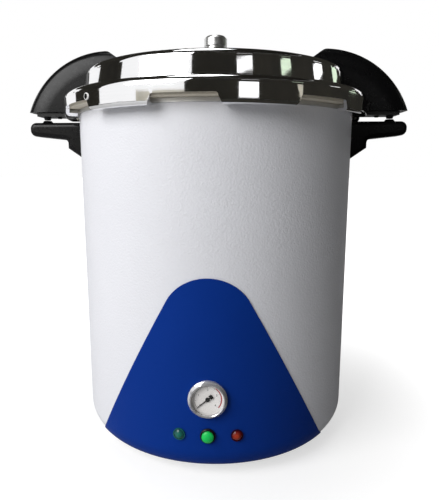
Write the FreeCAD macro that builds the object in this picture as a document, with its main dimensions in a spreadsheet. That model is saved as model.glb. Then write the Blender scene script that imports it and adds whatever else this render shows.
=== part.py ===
import FreeCAD, Part
import math
import os
import Sketcher

# Vertical steam autoclave: a pot with a bayonet lid, hung in a round sheet jacket
# whose bottom holds the heater and the controls. Millimetres, +Z up, the front is -Y.
# The origin is on the floor, under the axis of the pot.

doc = FreeCAD.newDocument("VerticalAutoclave")
sheet = doc.addObject("Spreadsheet::Sheet", "dims")


class Size:
    """A number of the sheet, or one worked out from it, with the expression that gives it."""

    def __init__(self, text, value):
        self.text = text
        self.value = value

    def __add__(self, other):
        return joined(self, "+", other)

    def __radd__(self, other):
        return joined(other, "+", self)

    def __sub__(self, other):
        return joined(self, "-", other)

    def __rsub__(self, other):
        return joined(other, "-", self)

    def __mul__(self, other):
        return joined(self, "*", other)

    def __rmul__(self, other):
        return joined(other, "*", self)

    def __truediv__(self, other):
        return joined(self, "/", other)

    def __rtruediv__(self, other):
        return joined(other, "/", self)

    def __neg__(self):
        return joined(0, "-", self)


def as_size(number):
    return number if isinstance(number, Size) else Size(repr(number), number)


def joined(left, sign, right):
    left, right = as_size(left), as_size(right)
    value = {
        "+": lambda a, b: a + b,
        "-": lambda a, b: a - b,
        "*": lambda a, b: a * b,
        "/": lambda a, b: a / b,
    }[sign](left.value, right.value)
    return Size(f"({left.text} {sign} {right.text})", value)


def root(size):
    return Size(f"sqrt({size.text})", math.sqrt(size.value))


def sine(angle):
    angle = as_size(angle)
    return Size(f"sin({angle.text})", math.sin(math.radians(angle.value)))


def cosine(angle):
    angle = as_size(angle)
    return Size(f"cos({angle.text})", math.cos(math.radians(angle.value)))


row_count = 0


def dim(alias, value):
    """Writes one driving dimension to the sheet and returns it."""
    global row_count
    row_count += 1
    sheet.set(f"A{row_count}", alias.replace("_", " "))
    sheet.set(f"B{row_count}", str(value))
    sheet.setAlias(f"B{row_count}", alias)
    sheet.recompute()
    return Size(f"dims.{alias}", value)


# Clearances
seat_gap = dim("seat_gap", 0.2)
running_gap = dim("running_gap", 0.4)
pin_gap = dim("pin_gap", 0.05)

# Feet and jacket
foot_height = dim("foot_height", 10)
foot_radius = dim("foot_radius", 13)
foot_inset = dim("foot_inset", 34)
foot_angle = dim("foot_angle", 47)
jacket_room = dim("jacket_room", 25)
base_room = dim("base_room", 106.8)
jacket_wall = dim("jacket_wall", 1.2)
jacket_corner = dim("jacket_corner", 27)
service_edge = dim("service_edge", 63)
base_overlap = dim("base_overlap", 8)
base_thickness = dim("base_thickness", 1.5)
screw_radius = dim("screw_radius", 2)
screw_head_radius = dim("screw_head_radius", 4)
screw_head_height = dim("screw_head_height", 2.2)

# Pot
chamber_radius = dim("chamber_radius", 150)
chamber_depth = dim("chamber_depth", 297)
chamber_corner = dim("chamber_corner", 20)
pot_wall = dim("pot_wall", 4)
pot_floor = dim("pot_floor", 5)
rim_room = dim("rim_room", 12.6)
rim_thickness = dim("rim_thickness", 4)

# Bayonet
lug_count = dim("lug_count", 8)
lug_phase = dim("lug_phase", 16)
pot_lug_angle = dim("pot_lug_angle", 17)
notch_angle = dim("notch_angle", 20)
notch_height = dim("notch_height", 10.6)
notch_slant = dim("notch_slant", 4)
notch_fillet = dim("notch_fillet", 3)
lid_lug_thickness = dim("lid_lug_thickness", 3.6)
lid_lug_reach = dim("lid_lug_reach", 13.8)

# Lid
skirt_overhang = dim("skirt_overhang", 17.6)
lid_wall = dim("lid_wall", 4)
skirt_height = dim("skirt_height", 27.6)
skirt_corner = dim("skirt_corner", 8)
step_width = dim("step_width", 24.1)
tier_taper = dim("tier_taper", 3.5)
tier_height = dim("tier_height", 29.5)
tier_corner = dim("tier_corner", 8)
tier_root = dim("tier_root", 4)
skirt_hem = dim("skirt_hem", 4.6)
dome_rise = dim("dome_rise", 16)

# Gasket
gasket_width = dim("gasket_width", 21.3)
gasket_chamfer = dim("gasket_chamfer", 5)
gasket_lip = dim("gasket_lip", 4.5)

# Lid handles
wing_width = dim("wing_width", 36)
wing_arc_radius = dim("wing_arc_radius", 116.1)
wing_arc_inset = dim("wing_arc_inset", 55)
wing_arc_drop = dim("wing_arc_drop", 54.8)
wing_lift = dim("wing_lift", 1.6)
wing_tip_inset = dim("wing_tip_inset", 48.1)
wing_tip_radius = dim("wing_tip_radius", 14)
wing_tip_slope = dim("wing_tip_slope", 35)
wing_nose_inset = dim("wing_nose_inset", 80.6)
wing_fillet = dim("wing_fillet", 7)
strap_thickness = dim("strap_thickness", 5)
strap_width = dim("strap_width", 30)
strap_overhang = dim("strap_overhang", 43.4)
stub_overhang = dim("stub_overhang", 35.4)
stub_radius = dim("stub_radius", 5)
stub_height = dim("stub_height", 3.4)
inner_screw_overhang = dim("inner_screw_overhang", 18.4)
wing_screw_length = dim("wing_screw_length", 22)

# Body handles
grip_length = dim("grip_length", 72.2)
grip_drop = dim("grip_drop", 4.6)
grip_depth = dim("grip_depth", 18)
grip_corner = dim("grip_corner", 8)
grip_slope = dim("grip_slope", 4)
grip_width = dim("grip_width", 34)
gusset_length = dim("gusset_length", 22)
gusset_corner = dim("gusset_corner", 5)
gusset_face = dim("gusset_face", 6.5)
gusset_slope = dim("gusset_slope", 34.6)
grip_fillet = dim("grip_fillet", 6)
saddle_angle = dim("saddle_angle", 22)
saddle_thickness = dim("saddle_thickness", 3)
bolt_radius = dim("bolt_radius", 3)
bolt_head_radius = dim("bolt_head_radius", 5)
bolt_head_height = dim("bolt_head_height", 3.6)
bolt_reach = dim("bolt_reach", 16)
bolt_spacing = dim("bolt_spacing", 19)
bump_radius = dim("bump_radius", 5.5)
bump_height = dim("bump_height", 3.3)

# Insulation and heater
insulation_thickness = dim("insulation_thickness", 11)
insulation_rise = dim("insulation_rise", 16.2)
insulation_drop = dim("insulation_drop", 7.6)
heater_ring_inset = dim("heater_ring_inset", 18)
heater_tube_radius = dim("heater_tube_radius", 4.2)
heater_plate_inset = dim("heater_plate_inset", 48)
heater_plate_thickness = dim("heater_plate_thickness", 3)
heater_stud_radius = dim("heater_stud_radius", 5)

# Control panel
panel_thickness = dim("panel_thickness", 1)
panel_top = dim("panel_top", 233.2)
panel_bottom = dim("panel_bottom", 16.5)
panel_top_radius = dim("panel_top_radius", 51)
panel_side_angle = dim("panel_side_angle", 31.2)
panel_half_width = dim("panel_half_width", 139.5)
panel_side_bulge = dim("panel_side_bulge", 2.6)

# Gauge
gauge_height = dim("gauge_height", 100)
gauge_case_radius = dim("gauge_case_radius", 19.4)
gauge_case_depth = dim("gauge_case_depth", 24)
gauge_case_wall = dim("gauge_case_wall", 0.8)
gauge_bezel_radius = dim("gauge_bezel_radius", 21.5)
gauge_bezel_height = dim("gauge_bezel_height", 6.4)
gauge_window_radius = dim("gauge_window_radius", 17.6)
gauge_glass_thickness = dim("gauge_glass_thickness", 1.2)
gauge_dial_thickness = dim("gauge_dial_thickness", 0.6)
needle_length = dim("needle_length", 15.8)
needle_tail = dim("needle_tail", 6.6)
needle_tail_width = dim("needle_tail_width", 4.8)
needle_thickness = dim("needle_thickness", 0.5)
needle_zero_angle = dim("needle_zero_angle", 220)
arbor_radius = dim("arbor_radius", 0.9)
gauge_port_radius = dim("gauge_port_radius", 3)
gauge_pipe_bend = dim("gauge_pipe_bend", 10)

# Switch and lamps
control_height = dim("control_height", 56.8)
lamp_angle = dim("lamp_angle", 10.4)
switch_bezel_radius = dim("switch_bezel_radius", 8.6)
switch_barrel_radius = dim("switch_barrel_radius", 7.7)
switch_cap_radius = dim("switch_cap_radius", 6.6)
switch_cap_height = dim("switch_cap_height", 7)
switch_travel = dim("switch_travel", 3)
switch_depth = dim("switch_depth", 12)
switch_block = dim("switch_block", 17)
lamp_lens_radius = dim("lamp_lens_radius", 5.9)
lamp_lens_height = dim("lamp_lens_height", 4.4)
lamp_barrel_radius = dim("lamp_barrel_radius", 4.6)
lamp_depth = dim("lamp_depth", 22)
nut_width = dim("nut_width", 3)
nut_thickness = dim("nut_thickness", 3.2)

# Valves on the lid
stem_radius = dim("stem_radius", 5)
stem_bore = dim("stem_bore", 1.6)
stem_height = dim("stem_height", 26)
weight_radius = dim("weight_radius", 14.6)
weight_height = dim("weight_height", 24)
safety_inset = dim("safety_inset", 77)
safety_radius = dim("safety_radius", 7)
safety_height = dim("safety_height", 22)
eyelet_angle = dim("eyelet_angle", 41.8)
eyelet_drop = dim("eyelet_drop", 13.7)
eyelet_radius = dim("eyelet_radius", 3.9)
eyelet_bore = dim("eyelet_bore", 2.6)

# Load and its rack
rack_room = dim("rack_room", 24)
rack_height = dim("rack_height", 16)
rack_thickness = dim("rack_thickness", 2)
basket_room = dim("basket_room", 12)
basket_headroom = dim("basket_headroom", 23.7)
basket_wall = dim("basket_wall", 1.2)
basket_rows = dim("basket_rows", 2)
basket_columns = dim("basket_columns", 8)
basket_wire = dim("basket_wire", 2.5)
basket_loop_radius = dim("basket_loop_radius", 26)

# Cord entry at the back
gland_height = dim("gland_height", 52)
gland_bore = dim("gland_bore", 4)
gland_thread_radius = dim("gland_thread_radius", 8)
gland_hex_radius = dim("gland_hex_radius", 11)

# Radii that follow from the chamber's, with their named clearances
jacket_radius = chamber_radius + jacket_room
foot_circle = jacket_radius - foot_inset
service_opening = jacket_radius - service_edge
heater_plate_radius = chamber_radius - heater_plate_inset
heater_ring_radius = heater_plate_radius - heater_ring_inset
rack_radius = chamber_radius - rack_room
basket_radius = chamber_radius - basket_room
lid_radius = jacket_radius + skirt_overhang
lid_inside_radius = lid_radius - lid_wall
rim_radius = lid_inside_radius - rim_room
tier_base_radius = lid_radius - step_width
tier_top_radius = tier_base_radius - tier_taper
safety_place = tier_top_radius - safety_inset
wing_arc_offset = lid_radius - wing_arc_inset
strap_reach = lid_radius + strap_overhang
stub_place = lid_radius + stub_overhang
inner_screw_place = lid_radius + inner_screw_overhang
grip_reach = jacket_radius + grip_length
gusset_reach = jacket_radius + gusset_length

# Levels that follow from the feet, the room under the chamber and the chamber
chamber_floor = foot_height + base_room
rim_top = chamber_floor + chamber_depth
rim_bottom = rim_top - rim_thickness
jacket_top = rim_bottom - seat_gap
lid_bottom = rim_bottom - running_gap - lid_lug_thickness
notch_top = lid_bottom + notch_height
step_top = lid_bottom + skirt_height
step_underside = step_top - lid_wall
tier_top = step_top + tier_height
dome_top = tier_top + dome_rise
pot_bottom = chamber_floor - pot_floor
pot_outside = chamber_radius + pot_wall
lug_pitch = 360 / lug_count
panel_outside = jacket_radius + seat_gap + panel_thickness
grip_top = jacket_top - grip_drop
insulation_bottom = pot_bottom + insulation_rise
insulation_top = jacket_top - insulation_drop
wing_bottom = notch_top + wing_lift
wing_arc_height = step_top - wing_arc_drop
eyelet_height = step_top - eyelet_drop


nodes = {}


def keep(node, thing):
    """Names a finished piece after its node."""
    thing.Label = node
    nodes[node] = thing
    return thing


def plane(body, role):
    return next(part for part in body.Origin.OriginFeatures if part.Role == role)


def bind(thing, **sizes):
    for name, size in sizes.items():
        thing.setExpression(name, as_size(size).text)


def put(thing, x=0, y=0, z=0, turn=None):
    """Places a piece: bound position, and a turn about an axis given as (axis, angle)."""
    if turn:
        axis, angle = turn
        angle = as_size(angle)
        rotation = FreeCAD.Rotation(FreeCAD.Vector(*axis), angle.value)
        thing.Placement = FreeCAD.Placement(FreeCAD.Vector(), rotation)
        if angle.value:
            thing.setExpression("Placement.Rotation.Angle", angle.text)
    for name, size in (("x", x), ("y", y), ("z", z)):
        thing.setExpression(f"Placement.Base.{name}", as_size(size).text)
    return thing


def vector(point):
    return FreeCAD.Vector(as_size(point[0]).value, as_size(point[1]).value, 0)


def pin_to(sketch, geometry, corner, axis, size):
    """Binds one coordinate of a point of the sketch."""
    size = as_size(size)
    if size.value == 0:
        line = -2 if axis == "X" else -1
        sketch.addConstraint(Sketcher.Constraint("PointOnObject", geometry, corner, line))
        return
    name = "DistanceX" if axis == "X" else "DistanceY"
    number = sketch.addConstraint(Sketcher.Constraint(name, -1, 1, geometry, corner, size.value))
    sketch.setExpression(f"Constraints[{number}]", size.text)


def draw(sketch, start, steps):
    """Draws a closed outline. A step is (x, y), a line, or (x, y, centre x, centre y, turn),
    an arc that turns +1, counter-clockwise, or -1. The last step is a line back to the start."""
    here = vector(start)
    first = last = None
    for step in steps + [start]:
        there = vector(step)
        if len(step) == 2:
            number = sketch.addGeometry(Part.LineSegment(here, there), False)
            enter, leave = 1, 2
        else:
            centre = vector(step[2:4])
            begin, end = (here, there) if step[4] > 0 else (there, here)
            circle = Part.Circle(centre, FreeCAD.Vector(0, 0, 1), (here - centre).Length)
            arc = Part.ArcOfCircle(circle, circle.parameter(begin), circle.parameter(end))
            number = sketch.addGeometry(arc, False)
            enter, leave = (1, 2) if step[4] > 0 else (2, 1)
            pin_to(sketch, number, 3, "X", step[2])
            pin_to(sketch, number, 3, "Y", step[3])
        if last is None:
            first = (number, enter)
            pin_to(sketch, number, enter, "X", start[0])
            pin_to(sketch, number, enter, "Y", start[1])
        else:
            sketch.addConstraint(Sketcher.Constraint("Coincident", last[0], last[1], number, enter))
        last = (number, leave)
        if step is start:
            sketch.addConstraint(Sketcher.Constraint("Coincident", number, leave, first[0], first[1]))
        elif len(step) == 2:
            pin_to(sketch, number, leave, "X", step[0])
            pin_to(sketch, number, leave, "Y", step[1])
        else:
            spoke = there - centre
            axis, size = ("Y", step[1]) if abs(spoke.x) > abs(spoke.y) else ("X", step[0])
            pin_to(sketch, number, leave, axis, size)
        here = there


def circle_in(sketch, x, y, radius):
    centre = vector((x, y))
    circle = Part.Circle(centre, FreeCAD.Vector(0, 0, 1), as_size(radius).value)
    number = sketch.addGeometry(circle, False)
    pin_to(sketch, number, 3, "X", x)
    pin_to(sketch, number, 3, "Y", y)
    constraint = sketch.addConstraint(Sketcher.Constraint("Radius", number, as_size(radius).value))
    sketch.setExpression(f"Constraints[{constraint}]", as_size(radius).text)


def new_body(name):
    return doc.addObject("PartDesign::Body", name)


def new_sketch(body, role, name, lift=0):
    """A sketch on an origin plane of its own body, moved along the plane's normal by lift."""
    sketch = body.newObject("Sketcher::SketchObject", name)
    sketch.AttachmentSupport = [(plane(body, role), "")]
    sketch.MapMode = "FlatFace"
    if as_size(lift).value:
        sketch.setExpression("AttachmentOffset.Base.z", as_size(lift).text)
    return sketch


def turned(name, start, steps, sweep=360):
    """A body turned about the Z axis from an outline of radii and heights."""
    body = new_body(name)
    sketch = new_sketch(body, "XZ_Plane", name + "_outline")
    draw(sketch, start, steps)
    turn = body.newObject("PartDesign::Revolution", name + "_turn")
    turn.Profile = sketch
    turn.ReferenceAxis = (sketch, ["V_Axis"])
    bind(turn, Angle=sweep)
    return body


def raised(name, role, start, steps, thickness, lift=0, symmetric=False, holes=()):
    """A body raised from an outline on an origin plane."""
    body = new_body(name)
    sketch = new_sketch(body, role, name + "_outline", lift)
    draw(sketch, start, steps)
    for hole in holes:
        circle_in(sketch, *hole)
    pad = body.newObject("PartDesign::Pad", name + "_pad")
    pad.Profile = sketch
    bind(pad, Length=thickness)
    if symmetric:
        pad.SideType = "Symmetric"
    return body


def ring(name, inner, outer, bottom, top):
    """A turned ring of rectangular section, or a disc where inner is 0."""
    return turned(name, (inner, bottom), [(outer, bottom), (outer, top), (inner, top)])


def pattern(body, feature, count):
    """Repeats a feature of a body around the Z axis."""
    copies = body.newObject("PartDesign::PolarPattern", feature.Name + "_row")
    copies.Originals = [feature]
    copies.Axis = (plane(body, "Z_Axis"), [""])
    copies.Angle = 360
    bind(copies, Occurrences=count)
    body.Tip = copies
    return copies


def cylinder(name, radius, height, x=0, y=0, z=0, turn=None):
    thing = doc.addObject("Part::Cylinder", name)
    bind(thing, Radius=radius, Height=height)
    return put(thing, x, y, z, turn)


def block(name, length, width, height, x=0, y=0, z=0, turn=None):
    thing = doc.addObject("Part::Box", name)
    bind(thing, Length=length, Width=width, Height=height)
    return put(thing, x, y, z, turn)


def fused(name, things):
    thing = doc.addObject("Part::MultiFuse", name)
    thing.Shapes = things
    return thing


def grouped(name, things):
    """Separate solids that share one node."""
    thing = doc.addObject("Part::Compound", name)
    thing.Links = things
    return thing


def cut(name, base, tools):
    thing = doc.addObject("Part::Cut", name)
    thing.Base = base
    thing.Tool = tools[0] if len(tools) == 1 else fused(name + "_tools", tools)
    return thing


def facing(thing, radius, height, angle=0, spin=0):
    """Stands a piece that was made along +Z on a radius, pointing outwards, angle from the front,
    after a spin about its own axis."""
    outward = FreeCAD.Rotation(FreeCAD.Vector(0, 0, 1), as_size(angle).value)
    outward = outward.multiply(FreeCAD.Rotation(FreeCAD.Vector(1, 0, 0), 90))
    outward = outward.multiply(FreeCAD.Rotation(FreeCAD.Vector(0, 0, 1), as_size(spin).value))
    thing.Placement = FreeCAD.Placement(FreeCAD.Vector(), outward)
    bind(thing, **{
        "Placement.Base.x": radius * sine(angle),
        "Placement.Base.y": -(radius * cosine(angle)),
        "Placement.Base.z": height,
    })
    return thing


def drill(name, radius, height, hole_radius, angle=0, depth=40):
    """A cylinder through the jacket wall, for a hole that faces outwards."""
    tool = cylinder(name, hole_radius, depth)
    return facing(tool, radius - depth / 2, height, angle)


# Feet: three rubber pads, each with a recess for its screw
foot_places = {
    "foot_front_left": -foot_angle,
    "foot_right": 120 - foot_angle,
    "foot_rear": 240 - foot_angle,
}
foot_recess_depth = foot_height * 0.6
recess_radius = screw_head_radius + 0.8
foot_edge = 1.5
screw_end = foot_height + jacket_wall + 5
foot_screws = []
foot_screw_holes = []
for node, angle in foot_places.items():
    spot = {"x": foot_circle * sine(angle), "y": -(foot_circle * cosine(angle))}
    pad = turned(node + "_body", (screw_radius + seat_gap, foot_height), [
        (screw_radius + seat_gap, foot_recess_depth),
        (recess_radius, foot_recess_depth),
        (recess_radius, 0),
        (foot_radius - foot_edge, 0),
        (foot_radius, foot_edge),
        (foot_radius, foot_height),
    ])
    put(pad, **spot)
    keep(node, pad)
    screw = turned(node + "_screw", (0, foot_recess_depth - screw_head_height), [
        (screw_head_radius, foot_recess_depth - screw_head_height),
        (screw_head_radius, foot_recess_depth),
        (screw_radius, foot_recess_depth),
        (screw_radius, screw_end),
        (0, screw_end),
    ])
    put(screw, **spot)
    foot_screws.append(screw)
    hole = cylinder(node + "_hole", screw_radius + seat_gap, jacket_wall + 2, z=foot_height - 1, **spot)
    foot_screw_holes.append(hole)
keep("foot_screws", grouped("foot_screw_set", foot_screws))

# Jacket: a rolled sheet wall with a flange turned inwards at the top, on which the pot hangs,
# and a base pan with a rounded edge and a service opening, welded to the wall's lower edge
corner_ring = jacket_radius - jacket_corner
corner_height = foot_height + jacket_corner
jacket_inside = jacket_radius - jacket_wall
flange_inner = pot_outside + seat_gap
jacket_blank = turned("jacket_blank", (jacket_inside, corner_height), [
    (jacket_radius, corner_height),
    (jacket_radius, jacket_top),
    (flange_inner, jacket_top),
    (flange_inner, jacket_top - jacket_wall),
    (jacket_inside, jacket_top - jacket_wall),
])
base_pan = turned("base_pan", (service_opening, foot_height), [
    (corner_ring, foot_height),
    (jacket_radius, corner_height, corner_ring, corner_height, 1),
    (jacket_inside, corner_height),
    (corner_ring, foot_height + jacket_wall, corner_ring, corner_height, -1),
    (service_opening, foot_height + jacket_wall),
])
base_screw_circle = service_opening + base_overlap / 2
base_screw_angles = [45, 135, 225, 315]


def around(name, make, angles, circle):
    """Copies of an upright piece on a circle, at angles counter-clockwise from +X."""
    pieces = []
    for number, angle in enumerate(angles):
        piece = make(f"{name}_{number + 1}")
        pieces.append(put(piece, x=circle * cosine(angle), y=circle * sine(angle), z=0))
    return pieces


def base_hole(name):
    return ring(name, 0, screw_radius + seat_gap, foot_height - 5, foot_height + 5)


def base_screw(name):
    low = foot_height - seat_gap - base_thickness
    return turned(name, (0, low - screw_head_height), [
        (screw_head_radius, low - screw_head_height),
        (screw_head_radius, low),
        (screw_radius, low),
        (screw_radius, screw_end),
        (0, screw_end),
    ])


bolt_drop = 12
bolt_levels = [grip_top - bolt_drop, grip_top - bolt_drop - bolt_spacing]
side_holes = []
for side, name in ((90, "right"), (-90, "left")):
    for number, level in enumerate(bolt_levels):
        hole = f"jacket_{name}_hole_{number + 1}"
        side_holes.append(drill(hole, jacket_radius, level, bolt_radius + seat_gap, side))
jacket_holes = [
    drill("gauge_opening", jacket_radius, gauge_height, gauge_case_radius + seat_gap),
    drill("switch_opening", jacket_radius, control_height, switch_barrel_radius + seat_gap),
    drill("left_lamp_opening", jacket_radius, control_height, lamp_barrel_radius + seat_gap, -lamp_angle),
    drill("right_lamp_opening", jacket_radius, control_height, lamp_barrel_radius + seat_gap, lamp_angle),
    drill("gland_opening", jacket_radius, gland_height, gland_thread_radius + seat_gap, 180),
]
keep("jacket", cut("jacket_cut", jacket_blank, jacket_holes + side_holes))
pan_tools = foot_screw_holes + around("base_clear", base_hole, base_screw_angles, base_screw_circle)
keep("jacket_base", cut("base_pan_cut", base_pan, pan_tools))

# Base plate: closes the service opening from below, with vent slots
base_plate_radius = service_opening + base_overlap
base_top = foot_height - seat_gap
base_blank = ring("base_blank", 0, base_plate_radius, base_top - base_thickness, base_top)
vent_length, vent_width, vent_start, vent_count = 46, 6, 30, 6
vents = []
for number in range(vent_count):
    vent = block(f"vent_{number + 1}", vent_length, vent_width, 2 * foot_height)
    angle = 360 / vent_count * number
    put(vent, x=vent_start * cosine(angle) + vent_width / 2 * sine(angle),
        y=vent_start * sine(angle) - vent_width / 2 * cosine(angle), z=0, turn=((0, 0, 1), angle))
    vents.append(vent)
base_tools = vents + around("base_hole", base_hole, base_screw_angles, base_screw_circle)
keep("base_plate", cut("base_cut", base_blank, base_tools))
base_screws = around("base_screw", base_screw, base_screw_angles, base_screw_circle)
keep("base_screws", grouped("base_screw_set", base_screws))

# Pot: spun aluminium, with a flat rim that rests on the jacket and eight lugs round it
pot_inner_corner = chamber_radius - chamber_corner
pot_corner = chamber_corner + pot_wall
pot_blank = turned("pot_blank", (0, pot_bottom), [
    (pot_outside - pot_corner, pot_bottom),
    (pot_outside, pot_bottom + pot_corner, pot_outside - pot_corner, pot_bottom + pot_corner, 1),
    (pot_outside, rim_bottom),
    (rim_radius, rim_bottom),
    (rim_radius, rim_top),
    (chamber_radius, rim_top),
    (chamber_radius, chamber_floor + chamber_corner),
    (pot_inner_corner, chamber_floor, pot_inner_corner, chamber_floor + chamber_corner, -1),
    (0, chamber_floor),
])
pot_lug_radius = lid_inside_radius - running_gap - 0.3
lug_start = lug_phase - pot_lug_angle / 2 - 90
lug_end = lug_phase + pot_lug_angle / 2 - 90
lug_sketch = new_sketch(pot_blank, "XY_Plane", "lug_outline", rim_bottom)
lug_root = rim_radius - 4
draw(lug_sketch, (lug_root * cosine(lug_start), lug_root * sine(lug_start)), [
    (pot_lug_radius * cosine(lug_start), pot_lug_radius * sine(lug_start)),
    (pot_lug_radius * cosine(lug_end), pot_lug_radius * sine(lug_end), 0, 0, 1),
    (lug_root * cosine(lug_end), lug_root * sine(lug_end)),
])
lug = pot_blank.newObject("PartDesign::Pad", "lug")
lug.Profile = lug_sketch
bind(lug, Length=rim_thickness)
pattern(pot_blank, lug, lug_count)
gauge_port_place = chamber_radius - chamber_corner - 14
port = cylinder("gauge_port", gauge_port_radius, pot_floor + 4, y=-gauge_port_place, z=pot_bottom - 2)
keep("pot", cut("pot_cut", pot_blank, [port]))

# Insulation: a glass-wool sleeve wrapped round the pot
insulation_inner = pot_outside + seat_gap
keep("insulation_sleeve", ring("insulation", insulation_inner, insulation_inner + insulation_thickness,
                               insulation_bottom, insulation_top))

# Heater: a sheathed ring under the pot, held by a plate on the pot's stud
ring_centre = pot_bottom - seat_gap - heater_tube_radius
heater_ring = doc.addObject("Part::Torus", "heater_ring")
bind(heater_ring, Radius1=heater_ring_radius, Radius2=heater_tube_radius)
put(heater_ring, z=ring_centre)
tail_drop = 26
tail_spread = 9
tail_radius = heater_tube_radius - 0.7
tail_y = root(heater_ring_radius * heater_ring_radius - tail_spread * tail_spread)
tails = []
for side in (-1, 1):
    tail = cylinder(f"heater_tail_{side + 2}", tail_radius, tail_drop)
    tails.append(put(tail, x=side * tail_spread, y=tail_y, z=ring_centre - tail_drop))
keep("heating_element", fused("heater_joined", [heater_ring] + tails))
plate_top = ring_centre - heater_tube_radius - seat_gap
plate_bottom = plate_top - heater_plate_thickness
plate_bore_radius = heater_stud_radius + seat_gap
plate_blank = ring("heater_plate_blank", plate_bore_radius, heater_plate_radius, plate_bottom, plate_top)
tail_slot = block("tail_slot", 2 * tail_spread + 12, 14, 12, x=-(tail_spread + 6), y=heater_ring_radius - 7,
                  z=plate_bottom - 4)
keep("heater_clamp_plate", cut("heater_plate_cut", plate_blank, [tail_slot]))
stud_length = pot_bottom - plate_bottom + 12
keep("heater_stud", cylinder("heater_stud_rod", heater_stud_radius, stud_length, z=pot_bottom - stud_length))
nut_sides = 6


def hexagon(name, across, height, bore, z=0):
    """A six-sided nut with a bore."""
    prism = doc.addObject("Part::Prism", name + "_prism")
    prism.Polygon = nut_sides
    bind(prism, Circumradius=across, Height=height)
    put(prism, z=z)
    hole = cylinder(name + "_bore", bore, height + 2, z=z - 1)
    return cut(name, prism, [hole])


keep("heater_nut", hexagon("heater_nut_blank", heater_stud_radius * 1.9, 8, heater_stud_radius + pin_gap,
                           plate_bottom - seat_gap - 8))

# Control thermostat and safety cut-out: two capsules against the clamp plate
capsule_radius = 9
capsule_height = 11
capsules = {"control_thermostat": 45, "thermal_cutout": -45}
for node, place in capsules.items():
    can = turned(node + "_can", (0, plate_bottom - seat_gap - capsule_height), [
        (capsule_radius - 2, plate_bottom - seat_gap - capsule_height),
        (capsule_radius, plate_bottom - seat_gap - capsule_height + 3),
        (capsule_radius, plate_bottom - seat_gap),
        (0, plate_bottom - seat_gap),
    ])
    put(can, x=place)
    blades = []
    for side in (-1, 1):
        blades.append(block(f"{node}_blade_{side + 2}", 0.8, 6, 9, x=place + side * 4 - 0.4, y=-3,
                            z=plate_bottom - seat_gap - capsule_height - 8.5))
    keep(node, fused(node + "_joined", [can] + blades))

# Terminal block on the base plate, a row of four ways
block_length, block_width, block_height = 56, 22, 20
block_y = 40
block_z = foot_height
terminal = block("terminal_blank", block_length, block_width, block_height, x=-block_length / 2,
                 y=block_y, z=block_z)
ways = []
for number in range(4):
    ways.append(cylinder(f"way_{number + 1}", 3.2, 8, x=-block_length / 2 + 10 + 12 * number,
                         y=block_y + block_width / 2, z=block_z + block_height - 6))
keep("terminal_block", cut("terminal_cut", terminal, ways))

# Control panel: a thin blue plate formed to the jacket and its rounded corner
panel_inside = jacket_radius + seat_gap
panel_inner_corner = jacket_corner + seat_gap
panel_outer_corner = panel_inner_corner + panel_thickness
wrap_drop = corner_height - panel_bottom
inner_wrap = corner_ring + root(panel_inner_corner * panel_inner_corner - wrap_drop * wrap_drop)
outer_wrap = corner_ring + root(panel_outer_corner * panel_outer_corner - wrap_drop * wrap_drop)
panel_blank = turned("panel_blank", (panel_inside, corner_height), [
    (inner_wrap, panel_bottom, corner_ring, corner_height, -1),
    (outer_wrap, panel_bottom),
    (panel_outside, corner_height, corner_ring, corner_height, 1),
    (panel_outside, panel_top + 4),
    (panel_inside, panel_top + 4),
])
top_centre = panel_top - panel_top_radius
shoulder_x = panel_top_radius * cosine(panel_side_angle)
shoulder_z = top_centre + panel_top_radius * sine(panel_side_angle)
chord_x = shoulder_x - panel_half_width
chord_z = shoulder_z - panel_bottom + 4
chord = root(chord_x * chord_x + chord_z * chord_z)
side_radius = (chord * chord / 4 + panel_side_bulge * panel_side_bulge) / (2 * panel_side_bulge)
inset = side_radius - panel_side_bulge
side_centre_x = panel_half_width + chord_x / 2 - inset * chord_z / chord
side_centre_z = panel_bottom - 4 + chord_z / 2 + inset * chord_x / chord
panel_mask = raised("panel_mask", "XZ_Plane", (panel_half_width, panel_bottom - 4), [
    (shoulder_x, shoulder_z, side_centre_x, side_centre_z, 1),
    (-shoulder_x, shoulder_z, 0, top_centre, 1),
    (-panel_half_width, panel_bottom - 4, -side_centre_x, side_centre_z, 1),
], jacket_radius + 20)
panel_shape = doc.addObject("Part::MultiCommon", "panel_shape")
panel_shape.Shapes = [panel_blank, panel_mask]
keep("control_panel", cut("panel_cut", panel_shape, [
    drill("panel_gauge_hole", panel_outside, gauge_height, gauge_case_radius + seat_gap),
    drill("panel_switch_hole", panel_outside, control_height, switch_barrel_radius + seat_gap),
    drill("panel_left_lamp_hole", panel_outside, control_height, lamp_barrel_radius + seat_gap, -lamp_angle),
    drill("panel_right_lamp_hole", panel_outside, control_height, lamp_barrel_radius + seat_gap, lamp_angle),
]))

# Pressure gauge: a cup behind the panel, a stepped bezel in front, dial, needle and movement
glass_top = gauge_bezel_height - 2
glass_bottom = glass_top - gauge_glass_thickness
dial_bottom = as_size(0.4)
dial_top = dial_bottom + gauge_dial_thickness
case_back = -gauge_case_depth
case_bore = gauge_case_radius - gauge_case_wall


def on_gauge(thing, spin=0):
    return facing(thing, panel_outside, gauge_height, 0, spin)


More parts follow.
